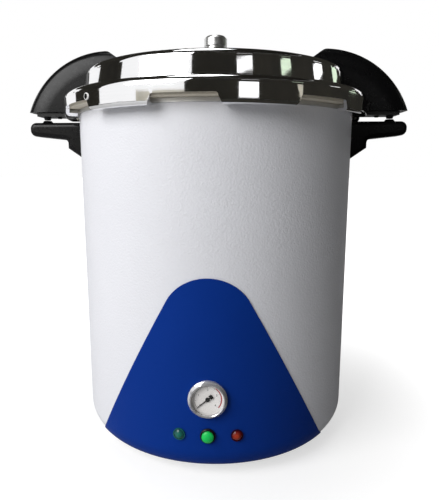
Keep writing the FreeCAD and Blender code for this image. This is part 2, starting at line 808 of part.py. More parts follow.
gauge_case = turned("gauge_case_body", (0, case_back), [
    (gauge_case_radius, case_back),
    (gauge_case_radius, glass_top),
    (case_bore, glass_top),
    (case_bore, case_back + gauge_case_wall),
    (0, case_back + gauge_case_wall),
])
keep("gauge_case", on_gauge(gauge_case))
bezel_seat = gauge_case_radius + pin_gap
gauge_bezel = turned("gauge_bezel_body", (bezel_seat, seat_gap), [
    (gauge_bezel_radius, seat_gap),
    (gauge_bezel_radius, gauge_bezel_height * 0.45),
    (gauge_bezel_radius - 1, gauge_bezel_height * 0.55),
    (gauge_bezel_radius - 1, gauge_bezel_height - 1.6),
    (gauge_bezel_radius - 2.4, gauge_bezel_height),
    (gauge_window_radius + 0.7, gauge_bezel_height),
    (gauge_window_radius, gauge_bezel_height - 0.8),
    (gauge_window_radius, glass_top + pin_gap),
    (bezel_seat, glass_top + pin_gap),
])
keep("gauge_bezel", on_gauge(gauge_bezel))
keep("gauge_glass", on_gauge(ring("gauge_glass_disc", 0, case_bore - pin_gap, glass_bottom, glass_top)))
keep("gauge_dial", on_gauge(ring("gauge_dial_disc", arbor_radius + running_gap, case_bore - pin_gap,
                                 dial_bottom, dial_top)))
needle_bottom = dial_top + 0.9
hub_radius = 2.5
tail_half = needle_tail_width / 2
waist = needle_tail / 2
arbor_back = -6
blade = raised("needle_blade", "XY_Plane", (needle_length, -0.2), [
    (needle_length, 0.2),
    (1.5, 0.7),
    (-waist, 0.5),
    (-waist, tail_half),
    (-needle_tail, tail_half),
    (-needle_tail, -tail_half),
    (-waist, -tail_half),
    (-waist, -0.5),
    (1.5, -0.7),
], needle_thickness, needle_bottom)
hub = cylinder("needle_hub", hub_radius, needle_thickness + 0.4, z=needle_bottom - 0.2)
arbor = cylinder("needle_arbor", arbor_radius, needle_bottom - arbor_back, z=arbor_back)
needle = fused("needle_joined", [blade, hub, arbor])
keep("gauge_needle", on_gauge(needle, needle_zero_angle))
movement_depth = 6
movement_front = as_size(-3)
plate = block("movement_plate", 14, 10, movement_depth, x=-7, y=-5, z=movement_front - movement_depth)
plate_bore = cylinder("movement_bore", arbor_radius + pin_gap, movement_depth + 2,
                      z=movement_front - movement_depth - 1)
frame_plate = cut("movement_frame", plate, [plate_bore])
coil_radius = gauge_case_radius * 0.68
coil_level = case_back + 9
post_top = movement_front - movement_depth
post = cylinder("movement_post", 3, post_top - case_back - gauge_case_wall, z=case_back + gauge_case_wall)
coil = doc.addObject("Part::Torus", "bourdon_coil")
coil.Angle3 = 250
bind(coil, Radius1=coil_radius, Radius2=1.6)
put(coil, z=coil_level)
arm = cylinder("movement_arm", 1.4, coil_radius, z=coil_level, turn=((0, 1, 0), 90))
keep("gauge_movement", on_gauge(fused("movement_joined", [frame_plate, post, coil, arm])))
connector_length = 10
keep("gauge_connector", on_gauge(ring("connector_body", 0, 5, case_back - connector_length, case_back)))


def path_of(points):
    """Straight runs joined by tangent arcs, each as large as its two runs allow."""
    spots = [FreeCAD.Vector(*[as_size(number).value for number in point]) for point in points]
    edges = []
    here = spots[0]
    for before, corner, after in zip(spots, spots[1:], spots[2:]):
        reach = 0.45 * min((before - corner).Length, (after - corner).Length)
        back = (before - corner).normalize()
        ahead = (after - corner).normalize()
        half_turn = (math.pi - back.getAngle(ahead)) / 2
        bend = reach / math.tan(half_turn)
        middle = corner + (back + ahead).normalize() * (bend / math.cos(half_turn) - bend)
        begin = corner + back * reach
        end = corner + ahead * reach
        edges.append(Part.LineSegment(here, begin).toShape())
        edges.append(Part.Arc(begin, middle, end).toShape())
        here = end
    edges.append(Part.LineSegment(here, spots[-1]).toShape())
    return Part.Wire(edges)


def tube(points, radius):
    """A round solid along a path."""
    path = path_of(points)
    start = path.Edges[0]
    at = start.FirstParameter
    circle = Part.Circle(start.valueAt(at), start.tangentAt(at), radius.value)
    return path.makePipeShell([Part.Wire(circle.toShape())], True, False)


def shaped(name, shapes):
    """A document object for shapes that are swept along a path."""
    thing = doc.addObject("Part::Feature", name)
    thing.Shape = shapes[0] if len(shapes) == 1 else Part.makeCompound(shapes)
    thing.Placement = FreeCAD.Placement()
    return thing


pipe_radius = gauge_port_radius - pin_gap
pipe_start = connector_length + gauge_case_depth - panel_outside
pipe_bend_y = -(gauge_port_place + gauge_pipe_bend)
pipe_bend_top = gauge_height + gauge_pipe_bend
pipe_run = cylinder("gauge_pipe_run", pipe_radius, pipe_bend_y - pipe_start, y=pipe_start, z=gauge_height,
                    turn=((1, 0, 0), -90))
pipe_elbow = doc.addObject("Part::Torus", "gauge_pipe_elbow")
pipe_elbow.Angle3 = 90
bind(pipe_elbow, Radius1=gauge_pipe_bend, Radius2=pipe_radius)
put(pipe_elbow, y=pipe_bend_y, z=pipe_bend_top, turn=((0, 1, 0), 90))
pipe_end = chamber_floor - 0.5
pipe_rise = cylinder("gauge_pipe_rise", pipe_radius, pipe_end - pipe_bend_top,
                     y=-gauge_port_place, z=pipe_bend_top)
collar_height = 1.5
collar = cylinder("gauge_pipe_collar", gauge_port_radius * 2, collar_height, y=-gauge_port_place,
                  z=pot_bottom - seat_gap - collar_height)
keep("gauge_pipe", fused("gauge_pipe_joined", [pipe_run, pipe_elbow, pipe_rise, collar]))

# Push button: a threaded barrel with a rim in front, a domed cap inside it, a nut and a contact block
barrel_bore = switch_cap_radius + running_gap / 2
barrel = turned("switch_barrel", (barrel_bore, -switch_depth), [
    (switch_barrel_radius, -switch_depth),
    (switch_barrel_radius, seat_gap),
    (switch_bezel_radius, seat_gap),
    (switch_bezel_radius, 2.2),
    (switch_bezel_radius - 0.8, 3),
    (barrel_bore, 3),
])
keep("switch_bezel", facing(barrel, panel_outside, control_height))
dome_depth = 2.6
dome_round = (switch_cap_radius * switch_cap_radius + dome_depth * dome_depth) / (2 * dome_depth)
cap_bottom = switch_travel + 0.6 - switch_depth
cap = turned("switch_cap", (0, cap_bottom), [
    (switch_cap_radius, cap_bottom),
    (switch_cap_radius, switch_cap_height - dome_depth),
    (0, switch_cap_height, 0, switch_cap_height - dome_round, 1),
])
keep("push_button", facing(cap, panel_outside, control_height))
switch_length = 18
contact_front = -(switch_depth + seat_gap)
contacts = [block("contact_block", switch_block, switch_block, switch_length, x=-switch_block / 2,
                  y=-switch_block / 2, z=contact_front - switch_length)]
for side in (-1, 1):
    contacts.append(block(f"contact_blade_{side + 2}", 0.8, 6, 8, x=side * 5 - 0.4, y=-3,
                          z=contact_front - switch_length - 7.5))
keep("switch_body", facing(fused("switch_body_joined", contacts), panel_outside, control_height))


def barrel_nut(name, barrel_radius):
    """A round nut on a barrel, resting on the curved inside of the jacket."""
    outer = barrel_radius + nut_width
    front = root(jacket_inside * jacket_inside - outer * outer) - panel_outside - seat_gap
    return ring(name, barrel_radius + pin_gap, outer, front - nut_thickness, front)


switch_nut = barrel_nut("switch_nut_ring", switch_barrel_radius)
keep("switch_nut", facing(switch_nut, panel_outside, control_height))

# Pilot lamps: a domed lens in a thin rim, on a round body with its nut
lens_edge = 1.4
lens_dome = lamp_lens_height - lens_edge
lens_round = (lamp_lens_radius * lamp_lens_radius + lens_dome * lens_dome) / (2 * lens_dome)
lamp_rims, lamp_bodies, lamp_nuts = [], [], []
for name, angle in (("left", -lamp_angle), ("right", lamp_angle)):
    lens = turned(f"{name}_lens", (0, seat_gap), [
        (lamp_lens_radius, seat_gap),
        (lamp_lens_radius, lens_edge),
        (0, lamp_lens_height, 0, lamp_lens_height - lens_round, 1),
    ])
    keep(f"lamp_lens_{name}", facing(lens, panel_outside, control_height, angle))
    rim = ring(f"{name}_lamp_rim", lamp_lens_radius + pin_gap, lamp_lens_radius + 0.9, seat_gap, 1.9)
    lamp_rims.append(facing(rim, panel_outside, control_height, angle))
    body = ring(f"{name}_lamp_body", 0, lamp_barrel_radius, -lamp_depth, 0)
    lamp_bodies.append(facing(body, panel_outside, control_height, angle))
    nut = barrel_nut(f"{name}_lamp_nut", lamp_barrel_radius)
    lamp_nuts.append(facing(nut, panel_outside, control_height, angle))
keep("lamp_rims", grouped("lamp_rim_set", lamp_rims))
keep("lamp_bodies", grouped("lamp_body_set", lamp_bodies))
keep("lamp_nuts", grouped("lamp_nut_set", lamp_nuts))

# Cable gland at the back, with its nut inside the jacket
gland_depth = 16
gland_reach = 17
gland = turned("gland_body", (gland_bore, -gland_depth), [
    (gland_thread_radius, -gland_depth),
    (gland_thread_radius, seat_gap),
    (gland_hex_radius, seat_gap),
    (gland_hex_radius, 6.5),
    (gland_hex_radius - 1.2, 7.5),
    (gland_hex_radius - 1.2, gland_reach - 4),
    (gland_bore + 2, gland_reach),
    (gland_bore, gland_reach),
])
keep("cable_gland", facing(gland, jacket_radius, gland_height, 180))
gland_nut = hexagon("gland_nut_blank", gland_hex_radius + 1, 4, gland_thread_radius + pin_gap,
                    -(jacket_wall + seat_gap + 5))
keep("cable_gland_nut", facing(gland_nut, jacket_radius, gland_height, 180))


def rounded(name, body, feature, half_width, radius):
    """Rounds every edge that lies in the two side faces of a raised body."""
    doc.recompute()
    edges = []
    for number, edge in enumerate(feature.Shape.Edges):
        box = edge.BoundBox
        if box.YLength < 0.01 and abs(abs(box.YMin) - half_width.value) < 0.01:
            edges.append(f"Edge{number + 1}")
    fillet = body.newObject("PartDesign::Fillet", name)
    fillet.Base = (feature, edges)
    bind(fillet, Radius=radius)
    body.Tip = fillet


# Body handles: moulded grips on a gusset, bolted through the jacket to a curved saddle plate
grip_inner = jacket_radius - 8
grip_bottom = grip_top - grip_depth
grip_root = grip_bottom - grip_slope
gusset_knee = grip_root - gusset_corner - gusset_face
gusset_low = gusset_knee - (gusset_reach - grip_inner) * sine(gusset_slope) / cosine(gusset_slope)
saddle_outer = jacket_inside - seat_gap
saddle_inner = saddle_outer - saddle_thickness
bolt_face = root(saddle_inner * saddle_inner - bolt_head_radius * bolt_head_radius) - pin_gap
saddles, bolts = [], []
for name, side in (("left", -1), ("right", 1)):
    grip = raised(f"{name}_grip", "XZ_Plane", (side * grip_inner, gusset_low), [
        (side * gusset_reach, gusset_knee),
        (side * gusset_reach, grip_root - gusset_corner),
        (side * (gusset_reach + gusset_corner), grip_root, side * (gusset_reach + gusset_corner),
         grip_root - gusset_corner, -side),
        (side * (grip_reach - grip_corner), grip_bottom),
        (side * grip_reach, grip_bottom + grip_corner, side * (grip_reach - grip_corner),
         grip_bottom + grip_corner, side),
        (side * grip_reach, grip_top - grip_corner),
        (side * (grip_reach - grip_corner), grip_top, side * (grip_reach - grip_corner),
         grip_top - grip_corner, side),
        (side * grip_inner, grip_top),
    ], grip_width, symmetric=True)
    rounded(f"{name}_grip_round", grip, grip.Tip, grip_width / 2, grip_fillet)
    bump = turned(f"{name}_bump", (0, grip_top - 2), [
        (bump_radius + 2, grip_top - 2),
        (bump_radius + 2, grip_top),
        (bump_radius - 0.5, grip_top + bump_height),
        (0, grip_top + bump_height),
    ])
    put(bump, x=side * stub_place)
    hollow = cylinder(f"{name}_wall_face", jacket_radius + seat_gap, 120, z=gusset_low - 20)
    tools = [hollow]
    saddle = turned(f"{name}_saddle", (saddle_inner, gusset_low), [
        (saddle_outer, gusset_low),
        (saddle_outer, jacket_top - 6),
        (saddle_inner, jacket_top - 6),
    ], 2 * saddle_angle)
    put(saddle, turn=((0, 0, 1), (0 if side > 0 else 180) - saddle_angle))
    saddle_tools = []
    for number, level in enumerate(bolt_levels):
        bolt_back = bolt_face - jacket_inside
        bolt = turned(f"{name}_bolt_{number + 1}", (0, bolt_back - bolt_head_height), [
            (bolt_head_radius, bolt_back - bolt_head_height),
            (bolt_head_radius, bolt_back),
            (bolt_radius, bolt_back),
            (bolt_radius, jacket_wall + bolt_reach),
            (0, jacket_wall + bolt_reach),
        ])
        bolts.append(facing(bolt, jacket_inside, level, 90 * side))
        pilot = cylinder(f"{name}_pilot_{number + 1}", bolt_radius + pin_gap, bolt_reach + 12)
        tools.append(facing(pilot, jacket_radius - 10, level, 90 * side))
        saddle_hole = f"{name}_saddle_hole_{number + 1}"
        saddle_tools.append(drill(saddle_hole, saddle_inner, level, bolt_radius + seat_gap, 90 * side, 20))
    saddles.append(cut(f"{name}_saddle_cut", saddle, saddle_tools))
    keep(f"body_handle_{name}", cut(f"{name}_grip_cut", fused(f"{name}_grip_joined", [grip, bump]), tools))
keep("body_handle_saddles", grouped("saddle_set", saddles))
keep("body_handle_bolts", grouped("bolt_set", bolts))

# Rack: a drilled plate on three legs that keeps the load above the water
rack_bottom = chamber_floor + rack_height
rack_top = rack_bottom + rack_thickness
rack_plate = ring("rack_plate", 0, rack_radius, rack_bottom, rack_top)
rack_hole_radius = 8
rack_holes = [cylinder("rack_hole_middle", rack_hole_radius, 10, z=rack_bottom - 4)]
for count, share in ((8, 0.36), (14, 0.68)):
    for number in range(count):
        angle = 360 / count * number
        circle = rack_radius * share
        hole = cylinder(f"rack_hole_{count}_{number + 1}", rack_hole_radius, 10)
        rack_holes.append(put(hole, x=circle * cosine(angle), y=circle * sine(angle), z=rack_bottom - 4))
rack_pieces = [cut("rack_drilled", rack_plate, rack_holes)]
rack_leg_radius = 4
rack_leg_height = rack_height + rack_thickness / 2 - seat_gap
rack_leg_circle = rack_radius * 0.88
for angle in (90, 210, 330):
    leg = cylinder(f"rack_leg_{angle}", rack_leg_radius, rack_leg_height)
    rack_pieces.append(put(leg, x=rack_leg_circle * cosine(angle), y=rack_leg_circle * sine(angle),
                           z=chamber_floor + seat_gap))
keep("load_rack", fused("rack_joined", rack_pieces))

# Basket: a cup with slots in its wall and drain holes in its floor
basket_bottom = rack_top + 0.3
basket_top = rim_top - basket_headroom
basket_cup = turned("basket_cup", (0, basket_bottom), [
    (basket_radius, basket_bottom),
    (basket_radius, basket_top),
    (basket_radius - basket_wall, basket_top),
    (basket_radius - basket_wall, basket_bottom + basket_wall),
    (0, basket_bottom + basket_wall),
])
slot_half = 7
slot_gap = 16
slot_margin = 20
slot_height = (basket_top - basket_bottom - 2 * slot_margin - slot_gap * (basket_rows - 1)) / basket_rows
slots = new_sketch(basket_cup, "XZ_Plane", "slot_outline", basket_radius - 8)
for number in range(int(basket_rows.value)):
    low = basket_bottom + slot_margin + number * (slot_height + slot_gap)
    draw(slots, (-slot_half, low + slot_half), [
        (slot_half, low + slot_half, 0, low + slot_half, 1),
        (slot_half, low + slot_height - slot_half),
        (-slot_half, low + slot_height - slot_half, 0, low + slot_height - slot_half, 1),
    ])
slot_cut = basket_cup.newObject("PartDesign::Pocket", "slot_cut")
slot_cut.Profile = slots
slot_cut.Reversed = True
slot_cut.Length = 16
slot_row = pattern(basket_cup, slot_cut, basket_columns)
drains = new_sketch(basket_cup, "XY_Plane", "drain_outline", basket_bottom - 4)
drain_radius = 7
circle_in(drains, 0, 0, drain_radius)
for count, share in ((4, 0.36), (8, 0.74)):
    for number in range(count):
        angle = 360 / count * (number + 0.5)
        circle = basket_radius * share
        circle_in(drains, circle * cosine(angle), circle * sine(angle), drain_radius)
drain_cut = basket_cup.newObject("PartDesign::Pocket", "drain_cut")
drain_cut.Profile = drains
drain_cut.Reversed = True
drain_cut.Length = 10
keep("basket", basket_cup)

# Basket rim: a wire ring round the basket's upper edge, with two lifting loops
wire_circle = basket_radius + pin_gap + basket_wire
wire_level = basket_top - basket_wire
loop_wire = basket_wire - 0.5
loop_place = root(wire_circle * wire_circle - basket_loop_radius * basket_loop_radius)
rim_ring = doc.addObject("Part::Torus", "basket_rim_ring")
bind(rim_ring, Radius1=wire_circle, Radius2=basket_wire)
rim_pieces = [put(rim_ring, z=wire_level)]
for side in (-1, 1):
    loop = doc.addObject("Part::Torus", f"basket_loop_{side + 2}")
    loop.Angle3 = 180
    bind(loop, Radius1=basket_loop_radius, Radius2=loop_wire)
    rim_pieces.append(put(loop, x=side * loop_place, z=wire_level, turn=((1, 1, 1), 120)))
keep("basket_rim", fused("basket_rim_joined", rim_pieces))

# Wiring: leads from the terminal block to the heater, the switch, the thermostat and the lamps
lead_radius = as_size(1.1)
way_y = block_y + block_width / 2
way_z = block_z + block_height - 4
tail_z = ring_centre - tail_drop - seat_gap
switch_back = -(panel_outside + contact_front - switch_length) + 0.4
lamp_back = panel_outside - lamp_depth - 0.2
blade_z = plate_bottom - seat_gap - capsule_height - 9
blade_x = capsules["control_thermostat"] + 4
leads = [
    [(-6, way_y, way_z), (-6, way_y, way_z + 18), (-6, -20, control_height - 10), (-3, -90, control_height),
     (-2, switch_back, control_height)],
    [(6, way_y, way_z), (6, way_y, way_z + 24), (blade_x, 25, blade_z - 18), (blade_x, 0, blade_z - 14),
     (blade_x, 0, blade_z)],
]
for side in (-1, 1):
    leads.append([(side * 18, way_y, way_z), (side * 18, way_y, way_z + 20),
                  (side * tail_spread, tail_y, tail_z - 22), (side * tail_spread, tail_y, tail_z)])
    lead_x = side * lamp_back * sine(lamp_angle)
    lead_y = -(lamp_back * cosine(lamp_angle))
    leads.append([(side * 2, switch_back, control_height), (side * 4, switch_back + 14, control_height - 3),
                  (side * 16, switch_back + 16, control_height - 4), (lead_x, lead_y + 16, control_height),
                  (lead_x, lead_y, control_height)])
keep("wiring", shaped("wiring_leads", [tube(points, lead_radius) for points in leads]))

# Lid: polished aluminium, two tiers and a low dome, a skirt cut into eight tabs with lugs turned inwards
dome_reach = tier_top_radius - tier_corner
dome_radius = (dome_reach * dome_reach + dome_rise * dome_rise) / (2 * dome_rise)
dome_centre = dome_top - dome_radius


def crown(gap):
    """The lid's outer line, from the skirt to the axis, moved outwards by gap."""
    return [
        (lid_radius + gap, step_top - skirt_corner),
        (lid_radius - skirt_corner, step_top + gap, lid_radius - skirt_corner, step_top - skirt_corner, 1),
        (tier_base_radius + tier_root, step_top + gap),
        (tier_base_radius + gap, step_top + tier_root,
         tier_base_radius + tier_root, step_top + tier_root, -1),
        (tier_top_radius + gap, tier_top - tier_corner),
        (dome_reach, tier_top + gap, dome_reach, tier_top - tier_corner, 1),
        (0, dome_top + gap, 0, dome_centre, 1),
    ]


def backwards(start, steps):
    """The same path walked from its end to its start, without the end itself."""
    path = []
    corners = [start] + [step[:2] for step in steps]
    for step, corner in zip(reversed(steps), reversed(corners[:-1])):
        path.append(corner if len(step) == 2 else corner + (step[2], step[3], -step[4]))
    return path


lug_inner = lid_radius - lid_lug_reach
lug_top = lid_bottom + lid_lug_thickness
hem = [
    (lid_radius - skirt_hem, lid_bottom),
    (lid_radius, lid_bottom + skirt_hem, lid_radius - skirt_hem, lid_bottom + skirt_hem, 1),
]
inner_line = backwards((lid_inside_radius, lug_top), crown(-lid_wall)) + [(lug_inner, lug_top)]
lid_blank = turned("lid_blank", (lug_inner, lid_bottom),
                   hem + crown(0) + [(0, dome_top - lid_wall)] + inner_line)
notch_half = lid_radius * sine(notch_angle / 2)
notch_sketch = new_sketch(lid_blank, "XZ_Plane", "notch_outline", lug_inner - 14)
draw(notch_sketch, (-(notch_half + notch_slant), lid_bottom - 1), [
    (notch_half + notch_slant, lid_bottom - 1),
    (notch_half, notch_top - notch_fillet),
    (notch_half - notch_fillet, notch_top, notch_half - notch_fillet, notch_top - notch_fillet, 1),
    (notch_fillet - notch_half, notch_top),
    (-notch_half, notch_top - notch_fillet, notch_fillet - notch_half, notch_top - notch_fillet, 1),
])
notch = lid_blank.newObject("PartDesign::Pocket", "notch")
notch.Profile = notch_sketch
notch.Reversed = True
bind(notch, Length=lid_lug_reach + 20)
pattern(lid_blank, notch, lug_count)
put(lid_blank, turn=((0, 0, 1), lug_phase - lug_pitch / 2))
safety_flange = safety_radius + 2
safety_edge = safety_place + safety_flange
safety_seat = dome_centre + root(dome_radius * dome_radius - safety_edge * safety_edge)
shank_radius = 5
stem_hole = cylinder("stem_hole", stem_radius + pin_gap, 30, z=dome_top - 20)
safety_hole = cylinder("safety_hole", shank_radius + pin_gap, 30, y=safety_place, z=safety_seat - 20)
safety_face = cylinder("safety_face", safety_flange + 0.5, 30, y=safety_place, z=safety_seat)
eyelet_hole = drill("eyelet_hole", lid_radius, eyelet_height, eyelet_bore + 0.5, -eyelet_angle, 16)
keep("lid_shell", cut("lid_cut", lid_blank, [stem_hole, safety_hole, safety_face, eyelet_hole]))

# Eyelet in the skirt
eyelet_wall = as_size(0.4)
eyelet = turned("eyelet_body", (eyelet_bore, -(lid_wall + 0.4)), [
    (eyelet_bore + eyelet_wall, -(lid_wall + 0.4)),
    (eyelet_bore + eyelet_wall, 0.1),
    (eyelet_radius, 0.1),
    (eyelet_radius - 0.4, 0.9),
    (eyelet_bore, 0.9),
])
keep("skirt_eyelet", facing(eyelet, lid_radius, eyelet_height, -eyelet_angle))

# Gasket: a silicone ring with a groove on its inner side, between the pot's rim and the lid's step
gasket_radius = lid_inside_radius - running_gap
gasket_inner = gasket_radius - gasket_width
gasket_bottom = rim_top + running_gap
gasket_top = step_underside - running_gap
gasket_middle = (gasket_bottom + gasket_top) / 2
keep("lid_gasket", turned("gasket_ring", (gasket_inner, gasket_bottom), [
    (gasket_radius, gasket_bottom),
    (gasket_radius, gasket_top - gasket_chamfer),
    (gasket_radius - gasket_chamfer, gasket_top),
    (gasket_inner, gasket_top),
    (gasket_inner, gasket_middle + gasket_lip / 2),
    (gasket_inner + gasket_width * 0.4, gasket_middle),
    (gasket_inner, gasket_middle - gasket_lip / 2),
]))

# Lid handles: moulded wings that follow the lid's two tiers, screwed to a steel strap below
clear_low = jacket_top - 20
wing_clear = turned("wing_clear", (0, clear_low), [(lid_radius + seat_gap, clear_low)] + crown(seat_gap))
strap_top = wing_bottom - seat_gap
strap_bottom = strap_top - strap_thickness
strap_face = lid_radius + seat_gap
strap_back = strap_face + strap_thickness
leg_top = step_top - skirt_corner
wing_rise = wing_bottom - wing_arc_height
wing_reach = wing_arc_offset + root(wing_arc_radius * wing_arc_radius - wing_rise * wing_rise)
crest_x = lid_radius - wing_tip_inset
crest_lean = (crest_x - wing_arc_offset) / wing_arc_radius
crest_upright = root(1 - crest_lean * crest_lean)
tip_run = wing_arc_radius - wing_tip_radius
tip_x = wing_arc_offset + tip_run * crest_lean
tip_z = wing_arc_height + tip_run * crest_upright
slope_x = tip_x - wing_tip_radius * sine(wing_tip_slope)
slope_z = tip_z + wing_tip_radius * cosine(wing_tip_slope)
nose_x = lid_radius - wing_nose_inset
nose_z = slope_z - (slope_x - nose_x) * sine(wing_tip_slope) / cosine(wing_tip_slope)
half_wing = wing_width / 2
crest_flat = wing_arc_radius - wing_fillet
strap_length = strap_reach - strap_face
shank = as_size(2.4)
straps, strap_screws = [], []
for name, side in (("left", -1), ("right", 1)):
    wing = raised(f"{name}_wing", "XZ_Plane", (side * (strap_back + seat_gap), wing_bottom), [
        (side * wing_reach, wing_bottom),
        (side * crest_x, wing_arc_height + wing_arc_radius * crest_upright,
         side * wing_arc_offset, wing_arc_height, side),
        (side * slope_x, slope_z, side * tip_x, tip_z, side),
        (side * nose_x, nose_z),
        (side * nose_x, leg_top + 4),
        (side * (strap_back + seat_gap), leg_top + 4),
    ], wing_width, symmetric=True)
    crest = turned(f"{name}_wing_crest", (0, -half_wing), [
        (crest_flat, -half_wing),
        (wing_arc_radius, wing_fillet - half_wing, crest_flat, wing_fillet - half_wing, 1),
        (wing_arc_radius, half_wing - wing_fillet),
        (crest_flat, half_wing, crest_flat, half_wing - wing_fillet, 1),
        (0, half_wing),
    ])
    put(crest, x=side * wing_arc_offset, z=wing_arc_height, turn=((1, 0, 0), 90))
    round_wing = doc.addObject("Part::MultiCommon", f"{name}_wing_rounded")
    round_wing.Shapes = [wing, crest]
    leg_x = strap_face if side > 0 else -strap_back
    foot_x = strap_face if side > 0 else -strap_reach
    leg = block(f"{name}_strap_leg", strap_thickness, strap_width, leg_top - strap_bottom,
                x=leg_x, y=-strap_width / 2, z=strap_bottom)
    foot = block(f"{name}_strap_foot", strap_length, strap_width, strap_thickness,
                 x=foot_x, y=-strap_width / 2, z=strap_bottom)
    wing_tools = [wing_clear]
    strap_tools = []
    for label, place, head, drop in (("outer", stub_place, stub_radius, stub_height),
                                     ("inner", inner_screw_place, stub_radius - 1.5, 1.8)):
        screw = turned(f"{name}_{label}_screw", (0, strap_bottom - drop), [
            (head - 1, strap_bottom - drop),
            (head, strap_bottom),
            (shank, strap_bottom),
            (shank, strap_top + wing_screw_length),
            (0, strap_top + wing_screw_length),
        ])
        strap_screws.append(put(screw, x=side * place))
        wing_tools.append(cylinder(f"{name}_{label}_pilot", shank + pin_gap, wing_screw_length + 4,
                                   x=side * place, z=wing_bottom - 2))
        strap_tools.append(cylinder(f"{name}_{label}_pass", shank + pin_gap, strap_thickness + 6,
                                    x=side * place, z=strap_bottom - 3))
    straps.append(cut(f"{name}_strap_cut", fused(f"{name}_strap_joined", [leg, foot]), strap_tools))
    keep(f"lid_handle_{name}", cut(f"{name}_wing_cut", round_wing, wing_tools))
keep("lid_handle_straps", grouped("strap_set", straps))
keep("lid_handle_screws", grouped("strap_screw_set", strap_screws))

# Steam vent: a drilled stem through the lid, its nut, and the weight that sits on its nozzle
stem_top = dome_top + stem_height
stem_low = dome_top - lid_wall - 9
nozzle_radius = stem_radius - 0.6
keep("vent_stem", turned("vent_stem_body", (stem_bore, stem_low), [
    (stem_radius, stem_low),
    (stem_radius, dome_top + seat_gap),
    (stem_radius + 4, dome_top + seat_gap),
    (stem_radius + 4, dome_top + 5),
    (nozzle_radius, dome_top + 6),
    (nozzle_radius, stem_top - 4),
    (stem_bore + 0.8, stem_top),
    (stem_bore, stem_top),
]))
keep("vent_nut", hexagon("vent_nut_blank", stem_radius * 1.9, 5, stem_radius + pin_gap,
                         dome_top - lid_wall - seat_gap - 5))
weight_bottom = dome_top + 10
weight_top = weight_bottom + weight_height
keep("vent_weight", turned("vent_weight_body", (nozzle_radius + running_gap, weight_bottom), [
    (weight_radius - 1.2, weight_bottom),
    (weight_radius, weight_bottom + 1.2),
    (weight_radius, weight_bottom + weight_height * 0.3),
    (weight_radius - 1.4, weight_bottom + weight_height * 0.36),
    (weight_radius - 1.4, weight_bottom + weight_height * 0.44),
    (weight_radius, weight_bottom + weight_height * 0.5),
    (weight_radius, weight_top - 3),
    (weight_radius - 3, weight_top),
    (0, weight_top),
    (0, stem_top + running_gap),
    (nozzle_radius + running_gap, stem_top + running_gap),
]))

# Safety valve at the back of the lid: body, cap, spring and a stem that lifts against the spring
valve_floor = safety_seat + 6
valve_rim = safety_seat + safety_height
spring_room = safety_radius - 1.4
guide = as_size(2)
collar_radius = spring_room - running_gap
keep("safety_valve_body", put(turned("safety_body", (guide + running_gap, safety_seat - lid_wall - 6), [
    (shank_radius, safety_seat - lid_wall - 6),
    (shank_radius, safety_seat + seat_gap),
    (safety_flange, safety_seat + seat_gap),
    (safety_flange, safety_seat + 4),
    (safety_radius, safety_seat + 4),
    (safety_radius, valve_rim),
    (spring_room, valve_rim),
    (spring_room, valve_floor),
    (guide + running_gap, valve_floor),
]), y=safety_place))
keep("safety_valve_cap", put(turned("safety_cap", (guide + running_gap, valve_rim + 0.1), [
    (safety_radius, valve_rim + 0.1),
    (safety_radius, valve_rim + 2),
    (safety_radius - 1.5, valve_rim + 3.5),
    (guide + running_gap, valve_rim + 3.5),
]), y=safety_place))
collar_bottom = valve_floor + 0.3
collar_top = collar_bottom + 2
stem_end = valve_rim + 9
keep("safety_valve_stem", put(turned("safety_stem", (0, safety_seat - lid_wall - 8), [
    (guide, safety_seat - lid_wall - 8),
    (guide, collar_bottom),
    (collar_radius, collar_bottom),
    (collar_radius, collar_top),
    (guide, collar_top),
    (guide, stem_end - 4),
    (guide + 2.5, stem_end - 4),
    (guide + 2.5, stem_end),
    (0, stem_end),
]), y=safety_place))
spring = ring("safety_spring", guide + 0.8, spring_room - 0.8, collar_top + 0.1, valve_rim)
keep("safety_valve_spring", put(spring, y=safety_place))

# Check every object, then write one file for each node
doc.recompute()
faulty = [thing.Name for thing in doc.Objects if {"Invalid", "Error"} & set(thing.State)]
if faulty:
    raise RuntimeError(f"Objects in error: {faulty}")
for node, thing in nodes.items():
    if thing.Shape.isNull() or not thing.Shape.isValid() or not thing.Shape.Solids:
        raise RuntimeError(f"{node} has no valid shape")
os.makedirs("parts", exist_ok=True)
for node, thing in nodes.items():
    thing.Shape.exportStep(f"parts/{node}.step")
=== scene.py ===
import math

import bmesh
import bpy
from mathutils import Matrix, Vector


